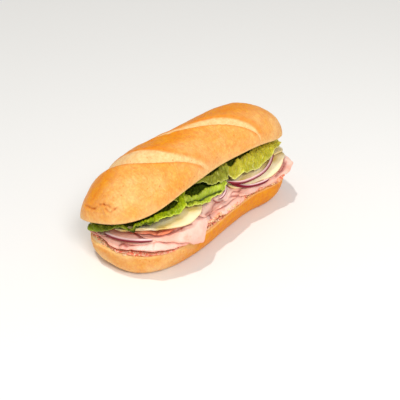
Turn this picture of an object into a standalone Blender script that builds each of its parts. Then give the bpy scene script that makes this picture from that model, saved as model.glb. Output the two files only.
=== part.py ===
# Italian sandwich: a soft scored roll cut in two, its top tipped open towards the front, with salami, ham,
# capicola, provolone, red onion and lettuce between the halves.
# Metres, +Z up. +X runs along the roll to its far end, the open front faces -Y, and the origin is the middle
# of the flat underside.

import math

import bmesh
import bpy
import numpy as np
from mathutils import Vector, noise

# Swellings along the roll are given at these shares of its half length, and fade over the spread
STATIONS = np.array((-0.8, -0.4, 0.0, 0.4, 0.8))
STATION_SPREAD = 0.30

# Bottom half of the roll
BOTTOM_HALF_LENGTH = 0.1094
BOTTOM_HALF_WIDTH = 0.0485
BOTTOM_SQUARENESS = 3.0
BOTTOM_RIM_HEIGHT = 0.0252
BOTTOM_FOOT_INSET = 0.0142
BOTTOM_FRONT_SWELL = (0.08, 0.02, -0.05, -0.12, 0.18)
BOTTOM_BACK_SWELL = (-0.08, 0.0, 0.0, 0.0, 0.0)
BOTTOM_SIDE_LEVELS = 6

# Top half of the roll
TOP_HALF_LENGTH = 0.1124
TOP_HALF_WIDTH = 0.0480
TOP_SQUARENESS = 3.1
TOP_CENTRE = (-0.0018, 0.0036)
TOP_LIP_HEIGHT = 0.0524
TOP_TILT = 0.312
TOP_CROWN = 0.0441
TOP_ROUNDNESS = 1.84
TOP_FRONT_SWELL = (-0.034, -0.060, -0.136, 0.013, 0.118)
TOP_BACK_SWELL = (0.062, 0.007, -0.024, -0.080, 0.0)
TOP_CROWN_SWELL = (0.015, -0.073, -0.111, -0.083, -0.042)
TOP_LIP_LIFT = (-0.0042, 0.0040, 0.0054, 0.0071, 0.0)
TOP_LEVELS = 13
TOP_LAST_LEVEL = 0.93

# Both halves: rounding at the cut, points round half an outline, and the slow lumps of a baked crust
CUT_EDGE = 0.0013
BOTTOM_OUTLINE_STEPS = 32
TOP_OUTLINE_STEPS = 52
OUTLINE_SAMPLES = 2001
LUMP_SIZE = 0.035
LUMP_HEIGHT = 0.0009

# Diagonal scores across the top crust: start, turning point and end in plan, band width at both ends
SCORES = (
    ((-0.084, 0.034), (-0.070, -0.015), (-0.020, -0.040), 0.019, 0.009),
    ((-0.050, 0.026), (0.005, 0.002), (0.043, -0.040), 0.011, 0.009),
)
SCORE_DEPTH = 0.0026
RIDGE_HEIGHT = 0.0022
RIDGE_WIDTH = 0.0035
SCORE_SAMPLES = 60
# Relief stands out sideways more than along the roll, and grows over the first levels above the lip
RELIEF_PULL = (0.3, 1.0, 1.0)
RELIEF_FADE_LEVELS = 3

# The filling is laid out flat in X and Y, at levels from 0 on the bottom half to 1 under the top half,
# and then bends down over the front and round both ends
GAP = 0.0003
CORE_LEFT = -0.062
CORE_RIGHT = 0.070
CORE_RADIUS = 0.0475
BEND_SHARE = 0.65
BEND_LIMIT = math.radians(80)
BEND_REPEATS = 4
LEAST_ROOM = 0.006
LEVEL_STEP = 0.09
STEP_FILL = 0.62
# Slow waves that every layer shares, deeper at the open front than at the back
WAVE_LENGTH = 0.047
WAVE_SHARE = 0.034
WAVE_START = 1.0
WAVE_TURN = 3.0
WAVE_DEPTH = 0.6
WAVE_FRONT_GAIN = 0.4
WAVE_FRONT_FADE = 0.03

TINY = 1e-9
PROBE = 1e-4

# Colour and roughness
CRUST = ((0.83, 0.49, 0.17), 0.50)
SALAMI = ((0.66, 0.16, 0.10), 0.45)
HAM = ((0.92, 0.58, 0.50), 0.50)
CAPICOLA = ((0.62, 0.22, 0.15), 0.50)
PROVOLONE = ((0.93, 0.83, 0.60), 0.50)
ONION = ((0.45, 0.10, 0.20), 0.35)
LETTUCE = ((0.36, 0.50, 0.07), 0.45)

# Slices and leaves: name, finish, level, thickness, centre, half sizes, turn in degrees, roundness,
# reach past the bottom half's rim, ruffle height, ruffles round the edge, ruffle start
SLICES = (
    ("salami_1", SALAMI, 0.045, 0.0011, (-0.073, -0.012), (0.0355, 0.037), 0, 1.0, 0.0000, 0.0002, 9, 0.4),
    ("salami_2", SALAMI, 0.045, 0.0011, (0.000, -0.012), (0.0355, 0.037), 0, 1.0, 0.0000, 0.0002, 8, 2.0),
    ("salami_3", SALAMI, 0.045, 0.0011, (0.072, -0.012), (0.0345, 0.037), 0, 1.0, 0.0000, 0.0002, 7, 4.0),
    ("salami_4", SALAMI, 0.125, 0.0011, (-0.037, -0.013), (0.0355, 0.037), 0, 1.0, 0.0005, 0.0003, 8, 1.0),
    ("salami_5", SALAMI, 0.125, 0.0011, (0.037, -0.013), (0.0355, 0.037), 0, 1.0, 0.0005, 0.0003, 9, 3.0),
    ("ham_1", HAM, 0.198, 0.0012, (-0.075, -0.006), (0.0370, 0.042), 0, 0.8, -0.0045, 0.0003, 5, 0.0),
    ("ham_2", HAM, 0.205, 0.0012, (0.055, -0.004), (0.0620, 0.044), 0, 0.7, 0.0030, 0.0003, 7, 1.5),
    ("ham_3", HAM, 0.290, 0.0012, (-0.074, -0.008), (0.0360, 0.046), 4, 0.8, 0.0030, 0.0003, 5, 2.2),
    ("ham_4", HAM, 0.290, 0.0012, (-0.003, -0.010), (0.0310, 0.044), 0, 0.3, 0.0100, 0.0003, 4, 0.7),
    ("ham_5", HAM, 0.290, 0.0012, (0.074, -0.004), (0.0420, 0.044), 0, 0.8, 0.0050, 0.0003, 6, 3.3),
    ("ham_6", HAM, 0.385, 0.0012, (-0.058, -0.018), (0.0310, 0.043), -20, 0.6, 0.0170, 0.0003, 4, 5.0),
    ("ham_7", HAM, 0.380, 0.0012, (0.050, -0.006), (0.0540, 0.045), 0, 0.7, 0.0080, 0.0003, 7, 0.3),
    ("capicola_1", CAPICOLA, 0.475, 0.0012, (-0.066, -0.003), (0.0270, 0.041), 0, 0.9, 0.0100, 0.0003, 6, 1.1),
    ("ham_8", HAM, 0.475, 0.0012, (-0.014, -0.006), (0.0235, 0.043), 0, 0.6, 0.0100, 0.0004, 5, 2.7),
    ("provolone_1", PROVOLONE, 0.575, 0.0020, (-0.060, -0.008), (0.0410, 0.042), 0, 1.0, 0.0200, 0.0002, 3, 1.0),
    ("provolone_2", PROVOLONE, 0.490, 0.0020, (0.062, -0.004), (0.0500, 0.048), 0, 1.0, 0.0200, 0.0002, 3, 2.5),
    ("provolone_3", PROVOLONE, 0.590, 0.0020, (0.082, 0.002), (0.0390, 0.041), 0, 1.0, 0.0200, 0.0002, 3, 4.2),
    ("lettuce_1", LETTUCE, 0.850, 0.0008, (-0.071, 0.001), (0.0390, 0.037), -6, 0.8, 0.0200, 0.0008, 13, 0.5),
    ("lettuce_2", LETTUCE, 0.775, 0.0008, (-0.026, -0.008), (0.0340, 0.045), 8, 0.8, 0.0200, 0.0008, 11, 1.7),
    ("lettuce_3", LETTUCE, 0.925, 0.0008, (-0.008, -0.004), (0.0280, 0.037), 0, 0.9, 0.0200, 0.0007, 9, 3.1),
    ("lettuce_4", LETTUCE, 0.850, 0.0008, (0.054, 0.000), (0.0560, 0.041), -3, 0.8, 0.0200, 0.0008, 15, 4.4),
)
SLICE_COLUMNS = 11
SLICE_ROWS = 8
ROW_CROWDING = 1.5
EDGE_BAND = 0.999
EDGE_THINNING = 0.55
EDGE_PULL = 3

# Front edges that aren't plain arcs, as flat points from the near end to the far end
FRONT_EDGES = {
    "ham_3": ((-0.1040, 0.0145), (-0.1080, 0.0020), (-0.1110, -0.0120), (-0.1055, -0.0240), (-0.1010, -0.0330),
              (-0.0940, -0.0430), (-0.0860, -0.0490), (-0.0760, -0.0530), (-0.0655, -0.0565)),
    "ham_4": ((-0.0380, -0.0505), (-0.0205, -0.0495), (0.0015, -0.0520), (0.0110, -0.0505), (0.0215, -0.0475)),
    "ham_5": ((0.0345, -0.0485), (0.0535, -0.0515), (0.0710, -0.0545), (0.0900, -0.0500)),
    "ham_6": ((-0.0920, -0.0315), (-0.0885, -0.0395), (-0.0800, -0.0475), (-0.0675, -0.0575), (-0.0590, -0.0635),
              (-0.0515, -0.0665), (-0.0500, -0.0630), (-0.0475, -0.0595), (-0.0425, -0.0555)),
    "ham_7": ((-0.0035, -0.0430), (0.0055, -0.0440), (0.0215, -0.0485), (0.0435, -0.0515), (0.0705, -0.0535),
              (0.0795, -0.0570), (0.0905, -0.0535), (0.1060, -0.0380)),
    "ham_8": ((-0.0470, -0.0475), (-0.0380, -0.0490), (-0.0235, -0.0455), (-0.0195, -0.0425)),
    "capicola_1": ((-0.0935, -0.0190), (-0.0935, -0.0260), (-0.0895, -0.0310), (-0.0860, -0.0360),
                   (-0.0790, -0.0415)),
    "provolone_1": ((-0.0935, -0.0210), (-0.0855, -0.0290), (-0.0795, -0.0370), (-0.0745, -0.0425),
                    (-0.0675, -0.0475), (-0.0590, -0.0505), (-0.0480, -0.0490), (-0.0440, -0.0480)),
    "provolone_2": ((0.0100, -0.0400), (0.0265, -0.0445), (0.0450, -0.0490), (0.0635, -0.0510), (0.0735, -0.0500),
                    (0.0835, -0.0460)),
    "lettuce_1": ((-0.1130, 0.0145), (-0.1115, 0.0060), (-0.1095, -0.0020), (-0.1055, -0.0075),
                  (-0.1020, -0.0140), (-0.1010, -0.0210), (-0.0955, -0.0215), (-0.0920, -0.0250),
                  (-0.0865, -0.0330), (-0.0765, -0.0390), (-0.0650, -0.0430), (-0.0565, -0.0425)),
    "lettuce_2": ((-0.0505, -0.0420), (-0.0435, -0.0440), (-0.0365, -0.0460), (-0.0235, -0.0460),
                  (-0.0120, -0.0465), (-0.0035, -0.0450), (-0.0010, -0.0415)),
    "lettuce_3": ((-0.0240, -0.0330), (-0.0180, -0.0380), (-0.0065, -0.0410), (0.0005, -0.0415)),
    "lettuce_4": ((0.0080, -0.0345), (0.0110, -0.0430), (0.0235, -0.0425), (0.0375, -0.0450), (0.0525, -0.0455),
                  (0.0650, -0.0435), (0.0785, -0.0400), (0.1000, -0.0310)),
}
# An edge's corners are rounded a little, and past its ends the outline returns to its arc
EDGE_SOFTNESS = math.radians(1.5)
EDGE_FADE = 0.35

# Onion arcs: name, level, centre, half sizes, first and last angle in degrees, slice height, ring thickness
ONION_ARCS = (
    ("onion_1", 0.705, (0.041, -0.012), (0.050, 0.0365), 224, 314, 0.0021, 0.0028),
    ("onion_2", 0.590, (0.050, -0.010), (0.050, 0.0440), 222, 275, 0.0021, 0.0028),
    ("onion_3", 0.620, (-0.014, -0.014), (0.024, 0.0325), 266, 318, 0.0022, 0.0030),
    ("onion_4", 0.470, (-0.066, -0.004), (0.040, 0.0440), 168, 230, 0.0021, 0.0032),
)
ARC_STEPS = 14
ARC_END_TAPER = 0.5
ARC_TAPER_POWER = 6


def clear_scene():
    for item in list(bpy.data.objects):
        bpy.data.objects.remove(item, do_unlink=True)


def make_collection(name):
    group = bpy.data.collections.new(name)
    bpy.context.scene.collection.children.link(group)
    return group


def make_material(name, colour, roughness):
    material = bpy.data.materials.new(name)
    material.use_nodes = True
    shader = material.node_tree.nodes["Principled BSDF"]
    shader.inputs["Base Color"].default_value = (*colour, 1.0)
    shader.inputs["Roughness"].default_value = roughness
    shader.inputs["Metallic"].default_value = 0.0
    return material


def make_object(name, mesh_builder, group, finish):
    mesh = bpy.data.meshes.new(name)
    mesh_builder.to_mesh(mesh)
    mesh_builder.free()
    mesh.shade_smooth()
    mesh.materials.append(make_material(name, *finish))
    item = bpy.data.objects.new(name, mesh)
    group.objects.link(item)
    return item


def thicken(item, thickness, shares):
    """Solidify about the middle surface, each point at its own share of the thickness."""
    weights = item.vertex_groups.new(name="thickness")
    for number, share in enumerate(shares):
        weights.add([number], float(share), "REPLACE")
    shell = item.modifiers.new("thickness", "SOLIDIFY")
    shell.thickness = thickness
    shell.offset = 0.0
    shell.vertex_group = weights.name


def swell(x, half_length, amounts):
    """Sum of the soft swellings at the stations, at x."""
    share = np.asarray(x)[..., None] / half_length
    return (np.exp(-(((share - STATIONS) / STATION_SPREAD) ** 2)) * np.array(amounts)).sum(axis=-1)


def half_outline(half_length, half_width, squareness, count):
    """x and the share of the half width, from the +X end to the -X end, in even steps along the edge."""
    angle = np.linspace(0.0, math.pi, OUTLINE_SAMPLES)
    x = half_length * np.sign(np.cos(angle)) * np.abs(np.cos(angle)) ** (2 / squareness)
    share = np.abs(np.sin(angle)) ** (2 / squareness)
    run = np.concatenate(([0.0], np.cumsum(np.hypot(np.diff(x), half_width * np.diff(share)))))
    steps = np.linspace(0.0, run[-1], count + 1)
    return np.interp(steps, run, x), np.interp(steps, run, share)


def plan_ring(half_length, half_width, squareness, front, back, count):
    """Outline in plan, counter-clockwise: along the back from +X to -X, then along the front."""
    x, share = half_outline(half_length, half_width, squareness, count)
    behind = half_width * share * (1.0 + swell(x, half_length, back))
    before = -half_width * share * (1.0 + swell(x, half_length, front))
    return np.concatenate((np.stack((x, behind), 1), np.stack((x, before), 1)[-2:0:-1]))


def lump(points):
    """Slow unevenness of a baked crust, in metres."""
    return np.array([LUMP_HEIGHT * noise.noise(Vector(point) / LUMP_SIZE) for point in points])


def loft(rings):
    """Closed body through rings of equal count; both end rings are closed by strips across the roll."""
    builder = bmesh.new()
    count = len(rings[0])
    grid = [[builder.verts.new(point) for point in ring] for ring in rings]
    for lower, upper in zip(grid, grid[1:]):
        for i in range(count):
            j = (i + 1) % count
            builder.faces.new((lower[i], lower[j], upper[j], upper[i]))
    half = count // 2
    for ring, first in ((grid[0], True), (grid[-1], False)):
        for i in range(half):
            corners = [ring[i], ring[i + 1], ring[-(i + 1)], ring[-i % count]]
            if i == 0:
                corners = corners[:3]
            if i == half - 1:
                corners = [ring[i], ring[i + 1], ring[-i % count]]
            builder.faces.new(corners[::-1] if first else corners)
    bmesh.ops.recalc_face_normals(builder, faces=builder.faces)
    return builder


def inset_ring(ring, half_length, half_width, inset):
    scale = np.array(((half_length - inset) / half_length, (half_width - inset) / half_width))
    return ring * scale


def build_bun_bottom(group):
    ring = plan_ring(BOTTOM_HALF_LENGTH, BOTTOM_HALF_WIDTH, BOTTOM_SQUARENESS, BOTTOM_FRONT_SWELL,
                     BOTTOM_BACK_SWELL, BOTTOM_OUTLINE_STEPS)
    side_top = BOTTOM_RIM_HEIGHT - CUT_EDGE
    rings = []
    for step in range(BOTTOM_SIDE_LEVELS + 1):
        angle = 0.5 * math.pi * (1.0 - step / BOTTOM_SIDE_LEVELS)
        inset = BOTTOM_FOOT_INSET * (1.0 - math.cos(angle))
        height = side_top * (1.0 - math.sin(angle))
        plan = inset_ring(ring, BOTTOM_HALF_LENGTH, BOTTOM_HALF_WIDTH, inset)
        rings.append(np.column_stack((plan, np.full(len(plan), height))))
    for level in rings[1:]:
        swelling = 1.0 + lump(level) / BOTTOM_HALF_WIDTH
        level[:, :2] *= swelling[:, None]
    rim = inset_ring(rings[-1][:, :2], BOTTOM_HALF_LENGTH, BOTTOM_HALF_WIDTH, CUT_EDGE)
    rings.append(np.column_stack((rim, np.full(len(rim), BOTTOM_RIM_HEIGHT))))
    make_object("bun_bottom", loft(rings), group, CRUST)


def lip_height(x, y):
    """Height of the top half's cut face, with x and y from the top half's own centre."""
    return TOP_LIP_HEIGHT + swell(x, TOP_HALF_LENGTH, TOP_LIP_LIFT) - TOP_TILT * y


def score_path(start, turn, end):
    along = np.linspace(0.0, 1.0, SCORE_SAMPLES)[:, None]
    start, turn, end = (np.array(point) for point in (start, turn, end))
    return (1 - along) ** 2 * start + 2 * along * (1 - along) * turn + along**2 * end


def score_relief(plan):
    """Height of the crust at plan points: a sunken band and, on its near side, a raised ridge."""
    relief = np.zeros(len(plan))
    for start, turn, end, width_first, width_last in SCORES:
        path = score_path(start, turn, end)
        away = plan[:, None, :] - path[None]
        nearest = np.hypot(away[..., 0], away[..., 1]).argmin(axis=1)
        along = nearest / (SCORE_SAMPLES - 1)
        heading = np.gradient(path, axis=0)[nearest]
        heading /= np.hypot(heading[:, 0], heading[:, 1])[:, None]
        offset = away[np.arange(len(plan)), nearest]
        across = offset[:, 1] * -heading[:, 0] + offset[:, 0] * heading[:, 1]
        beyond = np.abs(offset[:, 0] * heading[:, 0] + offset[:, 1] * heading[:, 1])
        half = 0.5 * (width_first + (width_last - width_first) * along)
        fade = np.exp(-((beyond / RIDGE_WIDTH) ** 2))
        relief -= SCORE_DEPTH * fade * np.exp(-((across / half) ** 4))
        relief += RIDGE_HEIGHT * fade * np.exp(-(((across - half - 0.5 * RIDGE_WIDTH) / RIDGE_WIDTH) ** 2))
    return relief


def build_bun_top(group):
    ring = plan_ring(TOP_HALF_LENGTH, TOP_HALF_WIDTH, TOP_SQUARENESS, TOP_FRONT_SWELL, TOP_BACK_SWELL,
                     TOP_OUTLINE_STEPS)
    rings = []
    under = inset_ring(ring, TOP_HALF_LENGTH, TOP_HALF_WIDTH, CUT_EDGE)
    rings.append(np.column_stack((under, lip_height(under[:, 0], under[:, 1]))))
    for step in range(TOP_LEVELS + 1):
        angle = 0.5 * math.pi * TOP_LAST_LEVEL * step / TOP_LEVELS
        width = math.cos(angle) ** (2 / TOP_ROUNDNESS)
        length = (TOP_HALF_LENGTH - TOP_HALF_WIDTH * (1.0 - width)) / TOP_HALF_LENGTH
        plan = ring * np.array((length, width))
        crown = TOP_CROWN * (1.0 + swell(plan[:, 0], TOP_HALF_LENGTH, TOP_CROWN_SWELL))
        rise = CUT_EDGE + (crown - CUT_EDGE) * math.sin(angle) ** (2 / TOP_ROUNDNESS)
        rings.append(np.column_stack((plan, lip_height(plan[:, 0], plan[:, 1]) + rise)))
    centre = np.array((*TOP_CENTRE, 0.0))
    rings = [level + centre for level in rings]
    middle = np.array((0.0, 0.0, TOP_LIP_HEIGHT))
    for number, level in enumerate(rings[2:], start=1):
        outward = (level - middle) * np.array(RELIEF_PULL)
        outward /= np.linalg.norm(outward, axis=1)[:, None]
        relief = score_relief(level[:, :2]) * min(1.0, number / RELIEF_FADE_LEVELS) + lump(level)
        level += outward * relief[:, None]
    make_object("bun_top", loft(rings), group, CRUST)


def cut_room(x, y):
    """Height between the cut faces of the two halves."""
    top = lip_height(x - TOP_CENTRE[0], y - TOP_CENTRE[1])
    return np.maximum(top - BOTTOM_RIM_HEIGHT - 2 * GAP, LEAST_ROOM)


def front_reach(x, toward_front):
    """Distance from the filling's core line to the bottom half's rim, in a direction."""
    return CORE_RADIUS * (1.0 + toward_front * swell(x, BOTTOM_HALF_LENGTH, BOTTOM_FRONT_SWELL))


def away_from_core(x, y):
    """Core point, direction and distance outward, over the front and round both ends."""
    core = np.clip(x, CORE_LEFT, CORE_RIGHT)
    out_y = np.minimum(y, 0.0)
    distance = np.hypot(x - core, out_y) + TINY
    return core, (x - core) / distance, out_y / distance, distance


def drape(x, y, level):
    """Place in the sandwich of flat point (x, y) at a level: level inside, bent down past the plateau."""
    phase = 2 * math.pi * x / WAVE_LENGTH + WAVE_TURN * level + WAVE_START
    wave = np.sin(phase) * (WAVE_DEPTH - WAVE_FRONT_GAIN * np.tanh(y / WAVE_FRONT_FADE))
    level = level + WAVE_SHARE * 4.0 * level * (1.0 - level) * wave
    core, out_x, out_y, distance = away_from_core(x, y)
    inside_y = np.maximum(y, 0.0)
    rim = front_reach(x, -out_y)
    radius = level * cut_room(x, y)
    for _ in range(BEND_REPEATS):
        plateau = rim - BEND_SHARE * radius
        held = np.minimum(distance, plateau)
        edge_x = core + out_x * held
        edge_y = inside_y + out_y * held
        radius = level * cut_room(edge_x, edge_y)
    past = np.maximum(distance - plateau, 0.0)
    angle = np.minimum(past / radius, BEND_LIMIT)
    hang = past - radius * angle
    out = radius * np.sin(angle) + hang * np.cos(angle)
    height = radius * np.cos(angle) - hang * np.sin(angle)
    base = BOTTOM_RIM_HEIGHT + GAP
    return np.stack((edge_x + out_x * out, edge_y + out_y * out, base + height), axis=-1)


def drape_normal(x, y, level):
    along = drape(x + PROBE, y, level) - drape(x - PROBE, y, level)
    across = drape(x, y + PROBE, level) - drape(x, y - PROBE, level)
    normal = np.cross(along, across)
    return normal / np.linalg.norm(normal, axis=-1)[..., None]


def trim_to_reach(x, y, reach):
    """Pull flat points back that would hang further than the reach past the rim."""
    core, _, out_y, distance = away_from_core(x, y)
    keep = np.minimum(1.0, (front_reach(x, -out_y) + reach) / distance)
    return core + (x - core) * keep, np.where(y < 0.0, y * keep, y)


def flat_plan(u, v, centre, half_sizes, turn, roundness):
    """Flat points of a square grid rounded, turned and moved to its centre."""
    across = half_sizes[0] * u * np.sqrt(1.0 - 0.5 * roundness * v**2)
    along = half_sizes[1] * v * np.sqrt(1.0 - 0.5 * roundness * u**2)
    angle = math.radians(turn)
    x = centre[0] + across * math.cos(angle) - along * math.sin(angle)
    y = centre[1] + across * math.sin(angle) + along * math.cos(angle)
    return x, y


def follow_edge(x, y, centre, front):
    """Outline points moved, out from or in to the centre, onto the front edge."""
    if not front:
        return x, y
    corners = sorted((math.atan2(far_x - centre[0], centre[1] - far_y), math.dist((far_x, far_y), centre))
                     for far_x, far_y in front)
    turned, radii = np.array(corners).T
    angle = np.arctan2(x - centre[0], centre[1] - y)
    shifts = (-EDGE_SOFTNESS, 0.0, EDGE_SOFTNESS)
    target = sum(np.interp(angle + shift, turned, radii) for shift in shifts) / len(shifts)
    past = np.clip(np.maximum(turned[0] - angle, angle - turned[-1]) / EDGE_FADE, 0.0, 1.0)
    share = 0.5 + 0.5 * np.cos(math.pi * past)
    scale = 1.0 + share * (target / np.hypot(x - centre[0], y - centre[1]) - 1.0)
    return centre[0] + (x - centre[0]) * scale, centre[1] + (y - centre[1]) * scale


def build_slice(group, name, finish, level, thickness, centre, half_sizes, turn, roundness, reach, ruffle,
                ruffles, start):
    """A thin rounded slice or leaf: a flat grid, crowded towards the front, draped and thickened."""
    builder = bmesh.new()
    bmesh.ops.create_grid(builder, x_segments=SLICE_COLUMNS, y_segments=SLICE_ROWS, size=1.0)
    bmesh.ops.triangulate(builder, faces=builder.faces, quad_method="FIXED")
    u, v = np.array([vertex.co[:2] for vertex in builder.verts]).T
    v = 2.0 * (0.5 * (v + 1.0)) ** ROW_CROWDING - 1.0
    edge = np.maximum(np.abs(u), np.abs(v))
    outer = np.maximum(edge, TINY)
    x, y = flat_plan(u, v, centre, half_sizes, turn, roundness)
    rim_x, rim_y = flat_plan(u / outer, v / outer, centre, half_sizes, turn, roundness)
    to_x, to_y = follow_edge(*trim_to_reach(rim_x, rim_y, reach), centre, FRONT_EDGES.get(name))
    x += (to_x - rim_x) * edge**EDGE_PULL
    y += (to_y - rim_y) * edge**EDGE_PULL
    ripple = ruffle * edge**2 * np.sin(ruffles * np.arctan2(v, u) + start)
    points = drape(x, y, level) + drape_normal(x, y, level) * ripple[:, None]
    for vertex, point in zip(builder.verts, points):
        vertex.co = point
    room = LEVEL_STEP * STEP_FILL * cut_room(x, y)
    shares = np.minimum(1.0, room / thickness) * np.where(edge > EDGE_BAND, EDGE_THINNING, 1.0)
    thicken(make_object(name, builder, group, finish), thickness, shares)


def build_onion_arc(group, name, level, centre, half_sizes, first, last, height, thickness):
    """An arc of one onion ring: a strip that stands on the level, thickened across."""
    builder = bmesh.new()
    bmesh.ops.create_grid(builder, x_segments=ARC_STEPS, y_segments=1, size=1.0)
    bmesh.ops.triangulate(builder, faces=builder.faces, quad_method="FIXED")
    u, v = np.array([vertex.co[:2] for vertex in builder.verts]).T
    angle = np.radians(first + (last - first) * 0.5 * (u + 1.0))
    x = centre[0] + half_sizes[0] * np.cos(angle)
    y = centre[1] + half_sizes[1] * np.sin(angle)
    points = drape(x, y, level) + drape_normal(x, y, level) * (0.5 * height * v)[:, None]
    for vertex, point in zip(builder.verts, points):
        vertex.co = point
    shares = 1.0 - ARC_END_TAPER * u**ARC_TAPER_POWER
    thicken(make_object(name, builder, group, ONION), thickness, shares)


def main():
    clear_scene()
    parts = make_collection("italian_sandwich")
    build_bun_bottom(parts)
    build_bun_top(parts)
    for row in SLICES:
        build_slice(parts, *row)
    for row in ONION_ARCS:
        build_onion_arc(parts, *row)


main()
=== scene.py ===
# Looks of the italian sandwich: every solid of the frame is replaced by a fine mesh of the same form,
# worked out from the same sizes, with procedural materials. Metres, +Z up, -Y is the open front.

import math
from collections import namedtuple

import bpy
import numpy as np
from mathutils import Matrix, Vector, kdtree, noise


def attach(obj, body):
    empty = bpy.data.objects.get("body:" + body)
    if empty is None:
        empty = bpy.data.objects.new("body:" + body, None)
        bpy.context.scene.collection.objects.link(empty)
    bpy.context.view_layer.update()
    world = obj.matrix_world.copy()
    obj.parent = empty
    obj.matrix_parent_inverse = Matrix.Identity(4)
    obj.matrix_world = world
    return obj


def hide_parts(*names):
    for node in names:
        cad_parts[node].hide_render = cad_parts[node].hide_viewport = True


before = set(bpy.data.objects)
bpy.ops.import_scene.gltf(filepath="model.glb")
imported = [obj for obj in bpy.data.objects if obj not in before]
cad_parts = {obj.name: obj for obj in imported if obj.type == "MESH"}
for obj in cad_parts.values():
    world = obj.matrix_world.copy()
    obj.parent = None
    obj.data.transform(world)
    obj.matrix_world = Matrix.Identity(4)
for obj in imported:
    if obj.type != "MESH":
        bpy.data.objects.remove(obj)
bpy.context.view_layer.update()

# Viewing angle of the photograph
CAMERA_PLACE = (-0.3932, -0.3387, 0.3330)
CAMERA_PITCH = math.radians(31.0)
CAMERA_TURN = math.radians(-50.11)
CAMERA_LENS = 57.6
SENSOR_WIDTH = 36.0

# Form of the roll, as in the solids
STATIONS = np.array((-0.8, -0.4, 0.0, 0.4, 0.8))
STATION_SPREAD = 0.30
BOTTOM_HALF_LENGTH = 0.1094
BOTTOM_HALF_WIDTH = 0.0485
BOTTOM_SQUARENESS = 3.0
BOTTOM_RIM_HEIGHT = 0.0252
BOTTOM_FOOT_INSET = 0.0142
BOTTOM_FRONT_SWELL = (0.08, 0.02, -0.05, -0.12, 0.18)
BOTTOM_BACK_SWELL = (-0.08, 0.0, 0.0, 0.0, 0.0)
TOP_HALF_LENGTH = 0.1124
TOP_HALF_WIDTH = 0.0480
TOP_SQUARENESS = 3.1
TOP_CENTRE = (-0.0018, 0.0036)
TOP_LIP_HEIGHT = 0.0524
TOP_TILT = 0.312
TOP_CROWN = 0.0441
TOP_ROUNDNESS = 1.84
TOP_FRONT_SWELL = (-0.034, -0.060, -0.136, 0.013, 0.118)
TOP_BACK_SWELL = (0.062, 0.007, -0.024, -0.080, 0.0)
TOP_CROWN_SWELL = (0.015, -0.073, -0.111, -0.083, -0.042)
TOP_LIP_LIFT = (-0.0042, 0.0040, 0.0054, 0.0071, 0.0)
CUT_EDGE = 0.0013
CUT_FACE_INSETS = (0.004, 0.010, 0.018)
LUMP_SIZE = 0.035
LUMP_HEIGHT = 0.0009
# Fine relief of each half: height, size and seed of its noises
BOTTOM_RELIEF = ((0.00025, 0.007, 1.0), (0.00012, 0.0025, 2.0))
TOP_RELIEF = ((0.00030, 0.008, 1.0), (0.00012, 0.0028, 2.0))
# Scores across the crust, each as its near and its far edge in plan, in millimetres
SCORES = (
    (((-85, 50), (-85, 28), (-84, 6), (-75, -11), (-62, -22), (-46, -31), (-31, -37), (-16, -40)),
     ((-66, 50), (-67, 27), (-62, 4), (-55, -11), (-47, -23), (-36, -32), (-24, -37), (-12, -40))),
    (((-60, 50), (-48, 24), (-30, 8), (-12.5, -2), (3, -10), (18.5, -22), (30, -32), (40, -40)),
     ((-45, 50), (-35, 26), (-20, 11), (-4, 3), (11, -4), (22, -13), (32, -24), (40, -34), (44, -40))),
)
SCORE_DEPTH = 0.0024
SCORE_FULL_WIDTH = 0.010
SCORE_SINK_SHARE = 0.55
SCORE_SOFTNESS = 0.0008
NEAR_RIDGE_HEIGHT = 0.00132
NEAR_RIDGE_WIDTH = 0.0065
FAR_RIDGE_HEIGHT = 0.00088
FAR_RIDGE_WIDTH = 0.005
FAR_RIDGE_SHIFT = 0.004
NEAR_LINE_WIDTH = 0.0016
FAR_LINE_WIDTH = 0.006
FAR_LINE_SHARE = 0.75
CORNER_CUTS = 4
EDGE_CRISPNESS = 0.0004
EDGE_BLUR = 0.0010
RELIEF_PULL = (0.3, 1.0, 1.0)
RELIEF_FADE = 0.22

# Way the filling bends over the front and round the ends, as in the solids
GAP = 0.0003
CORE_LEFT = -0.062
CORE_RIGHT = 0.070
CORE_RADIUS = 0.0475
BEND_SHARE = 0.65
BEND_LIMIT = math.radians(80)
BEND_REPEATS = 4
LEAST_ROOM = 0.006
WAVE_LENGTH = 0.047
WAVE_SHARE = 0.034
WAVE_START = 1.0
WAVE_TURN = 3.0
WAVE_DEPTH = 0.6
WAVE_FRONT_GAIN = 0.4
WAVE_FRONT_FADE = 0.03
TINY = 1e-9
PROBE = 1e-4

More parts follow.
